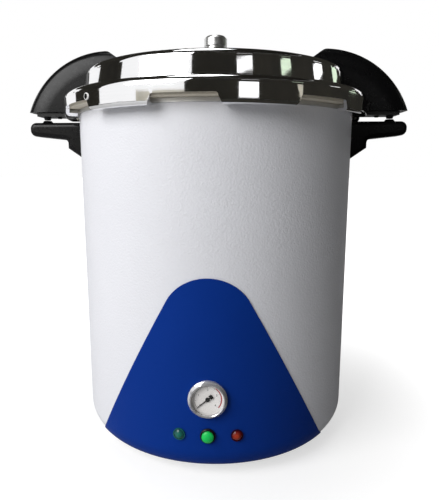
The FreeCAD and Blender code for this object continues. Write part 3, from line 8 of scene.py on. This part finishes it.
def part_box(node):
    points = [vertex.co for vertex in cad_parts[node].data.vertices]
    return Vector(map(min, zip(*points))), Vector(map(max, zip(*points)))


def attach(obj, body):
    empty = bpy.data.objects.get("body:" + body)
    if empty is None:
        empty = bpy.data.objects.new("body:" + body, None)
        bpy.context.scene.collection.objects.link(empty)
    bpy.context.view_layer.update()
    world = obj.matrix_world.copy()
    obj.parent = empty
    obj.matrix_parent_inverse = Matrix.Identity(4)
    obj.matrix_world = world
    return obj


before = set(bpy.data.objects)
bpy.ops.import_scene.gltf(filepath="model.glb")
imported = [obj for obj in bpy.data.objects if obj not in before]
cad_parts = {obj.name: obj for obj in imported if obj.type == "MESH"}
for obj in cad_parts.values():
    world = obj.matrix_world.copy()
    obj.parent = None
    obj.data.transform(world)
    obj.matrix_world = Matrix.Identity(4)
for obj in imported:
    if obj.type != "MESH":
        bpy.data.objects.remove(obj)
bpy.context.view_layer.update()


# Feet: three moulded rubber pads, each with a recess for the steel screw that holds it
# to the bottom of the jacket. The rubber is matt black with a little dust in its grain.
def finish(name, light, dark, scale, roughness, bump=0.1, depth=0.0002, metal=0.0,
           stretch=(1.0, 1.0, 1.0), detail=4.0, sockets=None):
    """A finish with a grain: two tones, a roughness between two values, and a bump."""
    material = bpy.data.materials.new(name)
    material.use_nodes = True
    tree = material.node_tree
    shader = tree.nodes["Principled BSDF"]
    shader.inputs["Metallic"].default_value = metal
    for socket, value in (sockets or {}).items():
        shader.inputs[socket].default_value = value
    place = tree.nodes.new("ShaderNodeTexCoord")
    mapping = tree.nodes.new("ShaderNodeMapping")
    mapping.inputs["Scale"].default_value = stretch
    tree.links.new(place.outputs["Object"], mapping.inputs["Vector"])
    grain = tree.nodes.new("ShaderNodeTexNoise")
    grain.inputs["Scale"].default_value = scale
    grain.inputs["Detail"].default_value = detail
    tree.links.new(mapping.outputs["Vector"], grain.inputs["Vector"])
    tone = tree.nodes.new("ShaderNodeMix")
    tone.data_type = "RGBA"
    tone.inputs["A"].default_value = (*light, 1.0)
    tone.inputs["B"].default_value = (*dark, 1.0)
    tree.links.new(grain.outputs["Fac"], tone.inputs["Factor"])
    tree.links.new(tone.outputs["Result"], shader.inputs["Base Color"])
    gloss = tree.nodes.new("ShaderNodeMapRange")
    gloss.inputs["From Min"].default_value = 0.3
    gloss.inputs["From Max"].default_value = 0.7
    gloss.inputs["To Min"].default_value = roughness[0]
    gloss.inputs["To Max"].default_value = roughness[1]
    tree.links.new(grain.outputs["Fac"], gloss.inputs["Value"])
    tree.links.new(gloss.outputs["Result"], shader.inputs["Roughness"])
    relief = tree.nodes.new("ShaderNodeBump")
    relief.inputs["Strength"].default_value = bump
    relief.inputs["Distance"].default_value = depth
    tree.links.new(grain.outputs["Fac"], relief.inputs["Height"])
    tree.links.new(relief.outputs["Normal"], shader.inputs["Normal"])
    return material


def coat_nodes(material, *nodes):
    """Gives CAD pieces their finish."""
    for node in nodes:
        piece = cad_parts[node]
        if not piece.material_slots:
            piece.data.materials.append(material)
        for holder in piece.material_slots:
            holder.material = material


rubber = finish("foot_rubber", (0.012, 0.012, 0.012), (0.03, 0.03, 0.028), 900.0, (0.6, 0.85), 0.3)
coat_nodes(rubber, "foot_front_left", "foot_right", "foot_rear")

# Screws, bolts and nuts: zinc-plated steel, turned, with a soft bluish shine
# and fine marks that run round them.
zinc = finish("zinc_plated_steel", (0.62, 0.63, 0.65), (0.5, 0.5, 0.5), 1500.0, (0.25, 0.45), 0.15,
              metal=1.0, stretch=(1.0, 1.0, 0.3))
coat_nodes(zinc, "foot_screws", "base_screws", "heater_stud", "heater_nut", "switch_nut", "lamp_nuts",
           "body_handle_bolts")

# Base plate, clamp plate and handle saddles: sheet steel with its rolled grain,
# cut and drilled, and screwed or clamped in place.
sheet_steel = finish("sheet_steel", (0.56, 0.56, 0.57), (0.42, 0.42, 0.42), 300.0, (0.3, 0.5), 0.12,
                     metal=1.0, stretch=(1.0, 12.0, 1.0))
coat_nodes(sheet_steel, "base_plate", "heater_clamp_plate", "body_handle_saddles")

# Straps and screws of the lid's wings: steel under black enamel, thick and a little glossy
enamel = finish("black_enamel", (0.008, 0.008, 0.008), (0.014, 0.014, 0.014), 240.0, (0.3, 0.45), 0.1,
                sockets={"Specular IOR Level": 0.3})
coat_nodes(enamel, "lid_handle_straps", "lid_handle_screws")


# Jacket: steel sheet with a white hammered powder coat. The coat has a fine pebble,
# a soft gloss, and a faint unevenness of tone from the spray gun.
def powder_coat(name, light, dark, pebble, pebble_depth, roughness, sockets=None):
    """A paint with a pebbled skin over a broad, faint variation of tone."""
    material = finish(name, light, dark, 6.0, roughness, detail=2.0, sockets=sockets)
    tree = material.node_tree
    relief = tree.nodes["Bump"]
    place = tree.nodes["Texture Coordinate"]
    cells = tree.nodes.new("ShaderNodeTexVoronoi")
    cells.feature = "SMOOTH_F1"
    cells.inputs["Scale"].default_value = pebble
    cells.inputs["Smoothness"].default_value = 0.8
    tree.links.new(place.outputs["Object"], cells.inputs["Vector"])
    fine = tree.nodes.new("ShaderNodeTexNoise")
    fine.inputs["Scale"].default_value = pebble * 1.7
    fine.inputs["Detail"].default_value = 2.0
    tree.links.new(place.outputs["Object"], fine.inputs["Vector"])
    both = tree.nodes.new("ShaderNodeMath")
    both.operation = "ADD"
    tree.links.new(cells.outputs["Distance"], both.inputs[0])
    tree.links.new(fine.outputs["Fac"], both.inputs[1])
    relief.inputs["Strength"].default_value = 1.0
    relief.inputs["Distance"].default_value = pebble_depth
    tree.links.new(both.outputs["Value"], relief.inputs["Height"])
    return material


white_coat = powder_coat("white_powder_coat", (0.785, 0.79, 0.83), (0.725, 0.73, 0.77), 420.0, 0.00022,
                         (0.38, 0.46), {"Specular IOR Level": 0.3})
coat_nodes(white_coat, "jacket", "jacket_base")

# Pot: spun aluminium, satin, with turning marks round its axis. Its rim shows as a pale
# band in the notches of the lid. The rack is cut from the same metal.
pot_metal = finish("spun_aluminium", (0.88, 0.88, 0.87), (0.8, 0.8, 0.79), 90.0, (0.42, 0.55), 0.1,
                   metal=0.85, stretch=(1.0, 1.0, 14.0))
coat_nodes(pot_metal, "pot", "load_rack")

# Insulation: mineral wool felt wrapped round the pot, loose fibres on its face.
wool = finish("mineral_wool", (0.62, 0.55, 0.36), (0.4, 0.34, 0.2), 260.0, (0.85, 1.0), 0.9, 0.0015,
              detail=10.0)
coat_nodes(wool, "insulation_sleeve")

# Heater: a steel-sheathed ring, dulled and browned by heat, held by the clamp plate.
sheath = finish("heater_sheath", (0.3, 0.27, 0.25), (0.14, 0.11, 0.1), 160.0, (0.4, 0.65), 0.2, metal=0.9)
coat_nodes(sheath, "heating_element")

# Thermostats: dark phenolic capsules with flat terminals, clipped under the clamp plate.
phenolic_can = finish("phenolic_can", (0.05, 0.03, 0.02), (0.025, 0.016, 0.012), 500.0, (0.35, 0.5), 0.1)
coat_nodes(phenolic_can, "control_thermostat", "thermal_cutout")

# Terminal block: cream moulded plastic with four wire ways, screwed to the jacket's floor.
cream = finish("cream_plastic", (0.72, 0.68, 0.56), (0.64, 0.6, 0.48), 400.0, (0.4, 0.55), 0.1)
coat_nodes(cream, "terminal_block")

# Wiring: silicone-covered leads from the terminal block to the heater and the controls.
lead_cover = finish("lead_cover", (0.6, 0.56, 0.48), (0.5, 0.46, 0.38), 700.0, (0.45, 0.6), 0.1)
coat_nodes(lead_cover, "wiring")

# Control panel: thin steel sheet in satin blue paint, formed to the jacket and its rounded
# corner, with a fine orange-peel skin. Its face is bare, without lettering.
blue_paint = powder_coat("blue_satin_paint", (0.0032, 0.034, 0.255), (0.002, 0.027, 0.21), 520.0, 0.00008,
                         (0.42, 0.5), {"Specular IOR Level": 0.05})
coat_nodes(blue_paint, "control_panel")

# Pressure gauge: a stepped chrome bezel over a plated cup, flat glass, and an off-white
# dial with printed marks. The needle is black sheet metal on a turned arbor.
chrome = finish("bright_chrome", (0.84, 0.84, 0.86), (0.74, 0.74, 0.76), 60.0, (0.12, 0.2), 0.02, metal=0.7)
coat_nodes(chrome, "gauge_bezel")
cup_plate = finish("plated_cup", (0.5, 0.5, 0.5), (0.42, 0.42, 0.42), 700.0, (0.3, 0.45), 0.1, metal=1.0)
coat_nodes(cup_plate, "gauge_case")
window = finish("gauge_window", (0.5, 0.52, 0.52), (0.4, 0.42, 0.42), 20.0, (0.02, 0.04), 0.0,
                sockets={"Alpha": 0.025, "IOR": 1.5})
coat_nodes(window, "gauge_glass")
dial_face = finish("dial_face", (0.98, 0.95, 0.93), (0.93, 0.9, 0.87), 350.0, (0.5, 0.6), 0.05)
coat_nodes(dial_face, "gauge_dial")
needle_black = finish("needle_black", (0.005, 0.005, 0.005), (0.009, 0.009, 0.009), 900.0, (0.4, 0.55), 0.1,
                      sockets={"Specular IOR Level": 0.2})
coat_nodes(needle_black, "gauge_needle")

gauge_centre = Vector((0.0, -0.1762, 0.1))
dial_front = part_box("gauge_dial")[0].y
ink_depth = 0.00006
scale_radius = 0.0149
zero_angle = 220.0
scale_sweep = 260.0
scale_steps = 40


def printed(name, colour, shapes):
    """Printed ink as one thin piece on the dial's face."""
    ink = finish(name, colour, tuple(0.8 * tone for tone in colour), 1200.0, (0.5, 0.65), 0.05)
    mesh = bpy.data.meshes.new(name)
    form = bmesh.new()
    for shape in shapes:
        shape(form)
    form.transform(Matrix.Translation((gauge_centre.x, dial_front - ink_depth, gauge_centre.z)))
    bmesh.ops.recalc_face_normals(form, faces=form.faces)
    form.to_mesh(mesh)
    form.free()
    piece = bpy.data.objects.new(name, mesh)
    bpy.context.scene.collection.objects.link(piece)
    mesh.materials.append(ink)
    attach(piece, "vessel")
    return piece


def scale_tick(angle, inner, outer, width):
    """A thin bar along a radius of the dial, angle from three o'clock."""
    def make(form):
        bar = bmesh.ops.create_cube(form, size=1.0)["verts"]
        bmesh.ops.scale(form, verts=bar, vec=(outer - inner, ink_depth, width))
        bmesh.ops.translate(form, verts=bar, vec=((outer + inner) / 2, ink_depth / 2, 0.0))
        bmesh.ops.rotate(form, verts=bar, cent=(0, 0, 0), matrix=Matrix.Rotation(-angle, 3, "Y"))
    return make


def scale_arc(start, end, inner, outer, steps=48):
    """A thin curved band on the dial from one angle to another."""
    def make(form):
        corners = [form.verts.new((radius, depth, 0.0)) for radius, depth in (
            (inner, 0.0), (outer, 0.0), (outer, ink_depth), (inner, ink_depth))]
        form.faces.new(corners)
        first = Matrix.Rotation(-start, 3, "Y")
        bmesh.ops.rotate(form, verts=corners, cent=(0, 0, 0), matrix=first)
        section = corners[:] + [edge for edge in form.edges if all(v in corners for v in edge.verts)]
        section += [face for face in form.faces if all(v in corners for v in face.verts)]
        swept = bmesh.ops.spin(form, geom=section, cent=(0, 0, 0), axis=(0, -1, 0), angle=end - start,
                               steps=steps, use_duplicate=False)
        del swept
    return make


def at_step(step):
    return math.radians(zero_angle - scale_sweep * step / scale_steps)


red_start = math.radians(56.0)
long_ticks = [scale_tick(at_step(step), 0.0129, 0.0147, 0.00022) for step in range(0, scale_steps + 1, 5)]
short_ticks = [scale_tick(at_step(step), 0.0138, 0.0147, 0.00012) for step in range(scale_steps + 1) if step % 5]
printed("gauge_scale_ticks", (0.02, 0.02, 0.02), long_ticks + short_ticks)
printed("gauge_scale_line", (0.08, 0.08, 0.08), [scale_arc(red_start, at_step(0), 0.01475, 0.01505)])
printed("gauge_scale_red", (0.5, 0.03, 0.05), [scale_arc(at_step(scale_steps), red_start, 0.0144, 0.0156)])

# Numbers on the dial: plain figures printed inside the ring of marks
figure_size = 0.0034
figure_radius = 0.0108
figure_ink = finish("figure_ink", (0.03, 0.03, 0.03), (0.05, 0.05, 0.05), 1200.0, (0.5, 0.65), 0.05)
for value in range(5):
    letters = bpy.data.curves.new(f"gauge_figure_{value}", "FONT")
    letters.body = str(value)
    letters.size = figure_size
    letters.align_x = "CENTER"
    letters.align_y = "CENTER"
    letters.extrude = ink_depth / 2
    flat = bpy.data.objects.new(f"gauge_figure_{value}_text", letters)
    bpy.context.scene.collection.objects.link(flat)
    mesh = bpy.data.meshes.new_from_object(flat)
    bpy.data.objects.remove(flat)
    angle = at_step(value * scale_steps / 4)
    painted_glow_spot = Vector((figure_radius * math.cos(angle), 0.0, figure_radius * math.sin(angle)))
    mesh.transform(Matrix.Rotation(math.radians(90), 4, "X"))
    mesh.transform(Matrix.Translation(Vector((0, dial_front - ink_depth / 2, gauge_centre.z)) + painted_glow_spot))
    figure = bpy.data.objects.new(f"gauge_figure_{value}", mesh)
    mesh.materials.clear()
    mesh.materials.append(figure_ink)
    bpy.context.scene.collection.objects.link(figure)
    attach(figure, "vessel")

# Works of the gauge and the fittings of the lid: machined brass
brass = finish("machined_brass", (0.75, 0.55, 0.24), (0.62, 0.44, 0.18), 500.0, (0.25, 0.4), 0.1, metal=1.0)
coat_nodes(brass, "gauge_movement", "gauge_connector", "gauge_pipe", "vent_stem", "vent_nut",
           "safety_valve_body", "safety_valve_cap", "safety_valve_stem")

# Push button: a bright green domed cap in a black moulded rim. The rim is the head
# of a threaded barrel that a nut holds from behind.
black_plastic = finish("black_plastic", (0.006, 0.006, 0.0065), (0.01, 0.01, 0.01), 700.0, (0.3, 0.45), 0.08,
                       sockets={"Specular IOR Level": 0.2})
coat_nodes(black_plastic, "switch_bezel", "switch_body", "lamp_bodies")
green_cap = finish("green_cap", (0.014, 0.62, 0.12), (0.01, 0.52, 0.09), 120.0, (0.25, 0.35), 0.03,
                   sockets={"Specular IOR Level": 0.3})
coat_nodes(green_cap, "push_button")


# Pilot lamps: domed lenses of tinted plastic in thin rims, dull teal green on the left,
# dark red on the right. They aren't lit; a painted glow makes each lens lighter at its middle, orange on the red
# one.
def lens_finish(name, painted_glow_tone, edge, painted_glow_spot):
    """Tinted plastic with a painted glow: lighter at the middle of the lens, as though the bulb behind it were
    lit.
    """
    material = finish(name, painted_glow_tone, edge, 300.0, (0.1, 0.18), 0.02, sockets={"Specular IOR Level": 0.3})
    tree = material.node_tree
    place = tree.nodes["Texture Coordinate"]
    away = tree.nodes.new("ShaderNodeVectorMath")
    away.operation = "DISTANCE"
    away.inputs[1].default_value = painted_glow_spot
    tree.links.new(place.outputs["Object"], away.inputs[0])
    # painted glow: the lens keeps its glow tone within 1.5 mm of the spot and fades to its own edge tint by 5.8 mm
    painted_glow_share = tree.nodes.new("ShaderNodeMapRange")
    painted_glow_share.inputs["From Min"].default_value = 0.0015
    painted_glow_share.inputs["From Max"].default_value = 0.0058
    tree.links.new(away.outputs["Value"], painted_glow_share.inputs["Value"])
    tree.links.new(painted_glow_share.outputs["Result"], tree.nodes["Mix"].inputs["Factor"])
    return material


for side, painted_glow_tone, edge in (("left", (0.02, 0.16, 0.12), (0.008, 0.06, 0.055)),
                           ("right", (0.38, 0.045, 0.02), (0.09, 0.004, 0.008))):
    low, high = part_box(f"lamp_lens_{side}")
    middle = (low + high) / 2
    # the painted glow is lightest at the middle of the lens face
    painted_glow_spot = Vector((middle.x, low.y, middle.z))
    coat_nodes(lens_finish(f"{side}_lens", painted_glow_tone, edge, painted_glow_spot), f"lamp_lens_{side}")

# Lamp rims: the rolled edges of the same tinted plastic, teal round the left lamp and a very dark
# red round the right one
rim_tint = finish("lamp_rim_tint", (0.012, 0.11, 0.1), (0.03, 0.002, 0.004), 300.0, (0.15, 0.25), 0.02,
                  sockets={"Specular IOR Level": 0.3})
tree = rim_tint.node_tree
across = tree.nodes.new("ShaderNodeSeparateXYZ")
tree.links.new(tree.nodes["Texture Coordinate"].outputs["Object"], across.inputs["Vector"])
right_side = tree.nodes.new("ShaderNodeMath")
right_side.operation = "GREATER_THAN"
right_side.inputs[1].default_value = 0.0
tree.links.new(across.outputs["X"], right_side.inputs[0])
tree.links.new(right_side.outputs["Value"], tree.nodes["Mix"].inputs["Factor"])
coat_nodes(rim_tint, "lamp_rims")

# Cable gland: black nylon, its dome nut and body turned to grip a round cord
nylon = finish("black_nylon", (0.015, 0.015, 0.015), (0.025, 0.025, 0.025), 800.0, (0.45, 0.6), 0.1)
coat_nodes(nylon, "cable_gland", "cable_gland_nut")

# Handles: compression-moulded black phenolic with a fine grain and a soft grey sheen.
# The wings are screwed to the lid's straps, the grips are bolted through the jacket.
phenolic = finish("black_phenolic", (0.002, 0.002, 0.0023), (0.0035, 0.0035, 0.0038), 260.0, (0.26, 0.34), 0.12,
                  0.0003, sockets={"Specular IOR Level": 0.2})
coat_nodes(phenolic, "body_handle_left", "body_handle_right")

# Wings: the same phenolic, with faces that fall away softly towards their curved outer edge
wing_phenolic = phenolic.copy()
wing_phenolic.name = "wing_phenolic"
tree = wing_phenolic.node_tree
folded = tree.nodes.new("ShaderNodeVectorMath")
folded.operation = "ABSOLUTE"
tree.links.new(tree.nodes["Texture Coordinate"].outputs["Object"], folded.inputs[0])
centred = tree.nodes.new("ShaderNodeVectorMath")
centred.operation = "SUBTRACT"
centred.inputs[1].default_value = (0.1376, 0.0, 0.3801)
tree.links.new(folded.outputs["Vector"], centred.inputs[0])
upright = tree.nodes.new("ShaderNodeVectorMath")
upright.operation = "MULTIPLY"
upright.inputs[1].default_value = (1.0, 0.0, 1.0)
tree.links.new(centred.outputs["Vector"], upright.inputs[0])
reach = tree.nodes.new("ShaderNodeVectorMath")
reach.operation = "LENGTH"
tree.links.new(upright.outputs["Vector"], reach.inputs[0])
edge_share = tree.nodes.new("ShaderNodeMapRange")
edge_share.inputs["From Min"].default_value = 0.09
edge_share.inputs["From Max"].default_value = 0.1161
tree.links.new(reach.outputs["Value"], edge_share.inputs["Value"])
fall = tree.nodes.new("ShaderNodeMath")
fall.operation = "POWER"
fall.inputs[1].default_value = 2.0
tree.links.new(edge_share.outputs["Result"], fall.inputs[0])
rounding = tree.nodes.new("ShaderNodeBump")
rounding.invert = True
rounding.inputs["Strength"].default_value = 1.0
rounding.inputs["Distance"].default_value = 0.006
tree.links.new(fall.outputs["Value"], rounding.inputs["Height"])
tree.links.new(tree.nodes["Bump"].outputs["Normal"], rounding.inputs["Normal"])
tree.links.new(rounding.outputs["Normal"], tree.nodes["Principled BSDF"].inputs["Normal"])
coat_nodes(wing_phenolic, "lid_handle_left", "lid_handle_right")

# Basket: perforated stainless steel sheet with a wire rim and two lifting loops
stainless = finish("stainless_steel", (0.7, 0.7, 0.71), (0.6, 0.6, 0.61), 400.0, (0.18, 0.3), 0.06, metal=1.0,
                   stretch=(1.0, 1.0, 8.0))
coat_nodes(stainless, "basket", "basket_rim", "safety_valve_spring")

# Lid: polished aluminium, spun in two tiers with a low dome. The polish is close to a mirror
# with very fine marks that run round the axis.
polished = finish("polished_aluminium", (0.93, 0.93, 0.94), (0.88, 0.88, 0.89), 25.0, (0.03, 0.07), 0.02,
                  0.0002, metal=1.0, stretch=(1.0, 1.0, 20.0))
coat_nodes(polished, "lid_shell")

# Eyelet: a white ring pressed into a hole in the skirt, its bore coloured near black as painted shade
ring_and_painted_bore_shade = finish("ring_and_painted_bore_shade", (0.82, 0.82, 0.8), (0.02, 0.02, 0.02), 900.0, (0.35, 0.5), 0.05)
eyelet_low, eyelet_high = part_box("skirt_eyelet")
eyelet_middle = (eyelet_low + eyelet_high) / 2
tree = ring_and_painted_bore_shade.node_tree
offset = tree.nodes.new("ShaderNodeVectorMath")
offset.operation = "SUBTRACT"
offset.inputs[1].default_value = eyelet_middle
tree.links.new(tree.nodes["Texture Coordinate"].outputs["Object"], offset.inputs[0])
aside = tree.nodes.new("ShaderNodeVectorMath")
aside.operation = "CROSS_PRODUCT"
aside.inputs[1].default_value = Vector((eyelet_middle.x, eyelet_middle.y, 0.0)).normalized()
tree.links.new(offset.outputs["Vector"], aside.inputs[0])
reach = tree.nodes.new("ShaderNodeVectorMath")
reach.operation = "LENGTH"
tree.links.new(aside.outputs["Vector"], reach.inputs[0])
# painted shade: within 2.7 mm of the eyelet's axis the ring takes the near-black tone, standing in for the shade
# inside its bore
bore_shade_share = tree.nodes.new("ShaderNodeMapRange")
bore_shade_share.inputs["From Min"].default_value = 0.003
bore_shade_share.inputs["From Max"].default_value = 0.0027
tree.links.new(reach.outputs["Value"], bore_shade_share.inputs["Value"])
tree.links.new(bore_shade_share.outputs["Result"], tree.nodes["Mix"].inputs["Factor"])
coat_nodes(ring_and_painted_bore_shade, "skirt_eyelet")

# Gasket: pale silicone rubber between the pot's rim and the lid, yellowed by the steam
silicone = finish("pale_silicone", (0.66, 0.61, 0.51), (0.56, 0.51, 0.41), 500.0, (0.45, 0.6), 0.1)
coat_nodes(silicone, "lid_gasket")

# Vent weight: a turned steel weight with a chamfered top and a groove, loose on its nozzle
satin_steel = finish("satin_steel", (0.8, 0.8, 0.79), (0.74, 0.74, 0.73), 200.0, (0.3, 0.36), 0.03, metal=1.0,
                     stretch=(0.2, 0.2, 3.0))
coat_nodes(satin_steel, "vent_weight")

# Floor: a plain pale floor that fades into a white surround
floor_mesh = bpy.data.meshes.new("floor")
floor_form = bmesh.new()
bmesh.ops.create_grid(floor_form, x_segments=1, y_segments=1, size=15.0)
floor_form.to_mesh(floor_mesh)
floor_form.free()
floor = bpy.data.objects.new("floor", floor_mesh)
bpy.context.scene.collection.objects.link(floor)
floor_paint = bpy.data.materials.new("pale_floor")
floor_paint.use_nodes = True
tree = floor_paint.node_tree
shader = tree.nodes["Principled BSDF"]
shader.inputs["Base Color"].default_value = (0.5, 0.5, 0.5, 1.0)
shader.inputs["Roughness"].default_value = 0.9
shader.inputs["Specular IOR Level"].default_value = 0.0
shader.inputs["Emission Color"].default_value = (1.0, 1.0, 1.0, 1.0)
rays = tree.nodes.new("ShaderNodeLightPath")
lift = tree.nodes.new("ShaderNodeMath")
lift.operation = "MULTIPLY"
place = tree.nodes.new("ShaderNodeTexCoord")
reach = tree.nodes.new("ShaderNodeVectorMath")
reach.operation = "LENGTH"
tree.links.new(place.outputs["Object"], reach.inputs[0])
glow = tree.nodes.new("ShaderNodeMapRange")
glow.interpolation_type = "SMOOTHSTEP"
glow.inputs["From Min"].default_value = 0.2
glow.inputs["From Max"].default_value = 0.6
glow.inputs["To Min"].default_value = 0.62
glow.inputs["To Max"].default_value = 1.1
tree.links.new(reach.outputs["Value"], glow.inputs["Value"])
tree.links.new(rays.outputs["Is Camera Ray"], lift.inputs[0])
tree.links.new(glow.outputs["Result"], lift.inputs[1])
tree.links.new(lift.outputs["Value"], shader.inputs["Emission Strength"])
floor_mesh.materials.append(floor_paint)

# Surround: white to the camera and in reflections, a softer grey as a light
world = bpy.data.worlds.new("surround")
bpy.context.scene.world = world
world.use_nodes = True
tree = world.node_tree
tree.nodes.clear()
out = tree.nodes.new("ShaderNodeOutputWorld")
soft = tree.nodes.new("ShaderNodeBackground")
soft.inputs["Color"].default_value = (1.0, 1.0, 1.0, 1.0)
soft.inputs["Strength"].default_value = 0.45
white = tree.nodes.new("ShaderNodeBackground")
white.inputs["Color"].default_value = (1.0, 1.0, 1.0, 1.0)
white.inputs["Strength"].default_value = 1.0
rays = tree.nodes.new("ShaderNodeLightPath")
seen = tree.nodes.new("ShaderNodeMath")
seen.operation = "MAXIMUM"
tree.links.new(rays.outputs["Is Camera Ray"], seen.inputs[0])
tree.links.new(rays.outputs["Is Glossy Ray"], seen.inputs[1])
clear = tree.nodes.new("ShaderNodeMath")
clear.operation = "MAXIMUM"
tree.links.new(seen.outputs["Value"], clear.inputs[0])
tree.links.new(rays.outputs["Is Transmission Ray"], clear.inputs[1])
blend = tree.nodes.new("ShaderNodeMixShader")
tree.links.new(clear.outputs["Value"], blend.inputs["Fac"])
tree.links.new(soft.outputs["Background"], blend.inputs[1])
tree.links.new(white.outputs["Background"], blend.inputs[2])
tree.links.new(blend.outputs["Shader"], out.inputs["Surface"])

# Studio screens: curved cloths round the object that only its reflections show. One dark cloth
# stands at the front and the right, a narrow one at the left, with white cards hung on the first.
def curved_sheet(name, start, end, low, high, radius, cloth, shades=False):
    """A sheet bent round the vertical axis, between two azimuths counted from the front."""
    mesh = bpy.data.meshes.new(name)
    form = bmesh.new()
    ends = [form.verts.new((0.0, -radius, low)), form.verts.new((0.0, -radius, high))]
    upright = form.edges.new(ends)
    bmesh.ops.rotate(form, verts=ends, cent=(0, 0, 0), matrix=Matrix.Rotation(math.radians(start), 3, "Z"))
    bmesh.ops.spin(form, geom=[*ends, upright], cent=(0, 0, 0), axis=(0, 0, 1),
                   angle=math.radians(end - start), steps=max(2, int((end - start) / 3)), use_duplicate=False)
    form.to_mesh(mesh)
    form.free()
    sheet = bpy.data.objects.new(name, mesh)
    bpy.context.scene.collection.objects.link(sheet)
    sheet.visible_camera = False
    sheet.visible_diffuse = shades
    sheet.visible_shadow = shades
    mesh.materials.append(cloth)


dark_cloth = finish("dark_cloth", (0.05, 0.046, 0.036), (0.02, 0.02, 0.019), 2.2, (0.95, 1.0), 0.0,
                    sockets={"Specular IOR Level": 0.0})
curved_sheet("right_screen", -17.0, 133.0, 0.02, 2.4, 1.7, dark_cloth, shades=True)
curved_sheet("left_strip", -111.0, -81.0, 0.02, 2.4, 1.7, dark_cloth)
ceiling_mesh = bpy.data.meshes.new("dark_ceiling")
ceiling_form = bmesh.new()
bmesh.ops.create_circle(ceiling_form, cap_ends=True, segments=64, radius=1.7)
bmesh.ops.translate(ceiling_form, verts=ceiling_form.verts, vec=(0.0, 0.0, 2.42))
ceiling_form.to_mesh(ceiling_mesh)
ceiling_form.free()
ceiling_mesh.materials.append(dark_cloth)
ceiling = bpy.data.objects.new("dark_ceiling", ceiling_mesh)
bpy.context.scene.collection.objects.link(ceiling)
ceiling.visible_camera = False
ceiling.visible_diffuse = False
ceiling.visible_shadow = False
curved_sheet("rear_screen", 133.0, 279.0, 1.15, 2.42, 1.7, dark_cloth)
grey_cloth = finish("grey_cloth", (0.42, 0.42, 0.42), (0.3, 0.3, 0.3), 2.2, (0.95, 1.0), 0.0,
                    sockets={"Specular IOR Level": 0.0})
curved_sheet("rear_low_screen", 152.0, 208.0, 0.5, 1.15, 1.7, dark_cloth)
curved_sheet("rear_skirting", 133.0, 240.0, 0.0, 0.5, 1.68, grey_cloth)
fan_mesh = bpy.data.meshes.new("floor_cloth")
fan_form = bmesh.new()
fan_ends = [fan_form.verts.new((0.0, -0.2, 0.003)), fan_form.verts.new((0.0, -1.7, 0.003))]
fan_edge = fan_form.edges.new(fan_ends)
bmesh.ops.rotate(fan_form, verts=fan_ends, cent=(0, 0, 0), matrix=Matrix.Rotation(math.radians(-17.0), 3, "Z"))
bmesh.ops.spin(fan_form, geom=[*fan_ends, fan_edge], cent=(0, 0, 0), axis=(0, 0, 1),
               angle=math.radians(150.0), steps=50, use_duplicate=False)
fan_form.to_mesh(fan_mesh)
fan_form.free()
fan_mesh.materials.append(dark_cloth)
fan = bpy.data.objects.new("floor_cloth", fan_mesh)
bpy.context.scene.collection.objects.link(fan)
fan.visible_camera = False
fan.visible_diffuse = False
fan.visible_shadow = False
white_card = finish("white_card", (0.9, 0.9, 0.9), (0.85, 0.85, 0.85), 3.0, (0.9, 1.0), 0.0,
                    sockets={"Emission Color": (1.0, 1.0, 1.0, 1.0), "Emission Strength": 0.9,
                             "Specular IOR Level": 0.0})
green_card = finish("green_card", (0.5, 0.62, 0.45), (0.35, 0.42, 0.3), 9.0, (0.9, 1.0), 0.0,
                    sockets={"Emission Color": (0.85, 1.0, 0.8, 1.0), "Emission Strength": 0.6,
                             "Specular IOR Level": 0.0})
warm_card = finish("warm_card", (0.6, 0.56, 0.44), (0.12, 0.12, 0.11), 5.0, (0.9, 1.0), 0.0,
                   sockets={"Emission Color": (1.0, 0.95, 0.8, 1.0), "Emission Strength": 0.3,
                            "Specular IOR Level": 0.0})
for card, start, end, low, high, cloth in (
        ("front_high", 20.3, 33.0, 1.402, 1.472, white_card), ("right_high", 57.8, 67.6, 1.288, 1.36, green_card),
        ("side_high", 91.0, 102.0, 1.095, 1.182, white_card), ("rear_high", 117.0, 126.0, 0.945, 1.03, green_card),
        ("front_low", 17.4, 30.2, 0.612, 0.73, white_card), ("right_low", 57.0, 61.0, 0.62, 0.7, warm_card),
        ("side_low", 108.0, 119.0, 0.655, 0.79, green_card), ("left_low", -50.0, -17.0, 0.3, 0.645, warm_card)):
    curved_sheet(card + "_card", start, end, low, high, 1.66, cloth)


# Lights: a large soft box at the left, a weak one overhead
def soft_box(name, place, target, width, height, watts):
    lamp = bpy.data.lights.new(name, "AREA")
    lamp.shape = "RECTANGLE"
    lamp.size = width
    lamp.size_y = height
    lamp.energy = watts
    holder = bpy.data.objects.new(name, lamp)
    holder.location = place
    aim = Vector(target) - Vector(place)
    holder.rotation_euler = aim.to_track_quat("-Z", "Y").to_euler()
    bpy.context.scene.collection.objects.link(holder)
    return holder


soft_box("left_soft_box", (-1.35, -1.5, 1.5), (0, 0, 0.25), 1.5, 1.5, 50.0)
soft_box("top_soft_box", (-0.2, 0.1, 2.3), (0, 0, 0.3), 0.7, 0.7, 8.0)

# Camera: low and close in front, turned a little to the right of the object's middle
camera_data = bpy.data.cameras.new("camera")
camera = bpy.data.objects.new("camera", camera_data)
bpy.context.scene.collection.objects.link(camera)
camera_turn = math.radians(2.8)
camera_distance = 0.653
camera_data.sensor_width = 36.0
camera_data.lens = 34.13
camera_data.shift_x = 0.0076
camera.location = (camera_distance * math.sin(camera_turn), -camera_distance * math.cos(camera_turn), 0.3466)
camera.rotation_euler = (math.radians(90 - 9.9), 0.0, camera_turn)
bpy.context.scene.camera = camera
bpy.context.scene.view_settings.view_transform = "Standard"
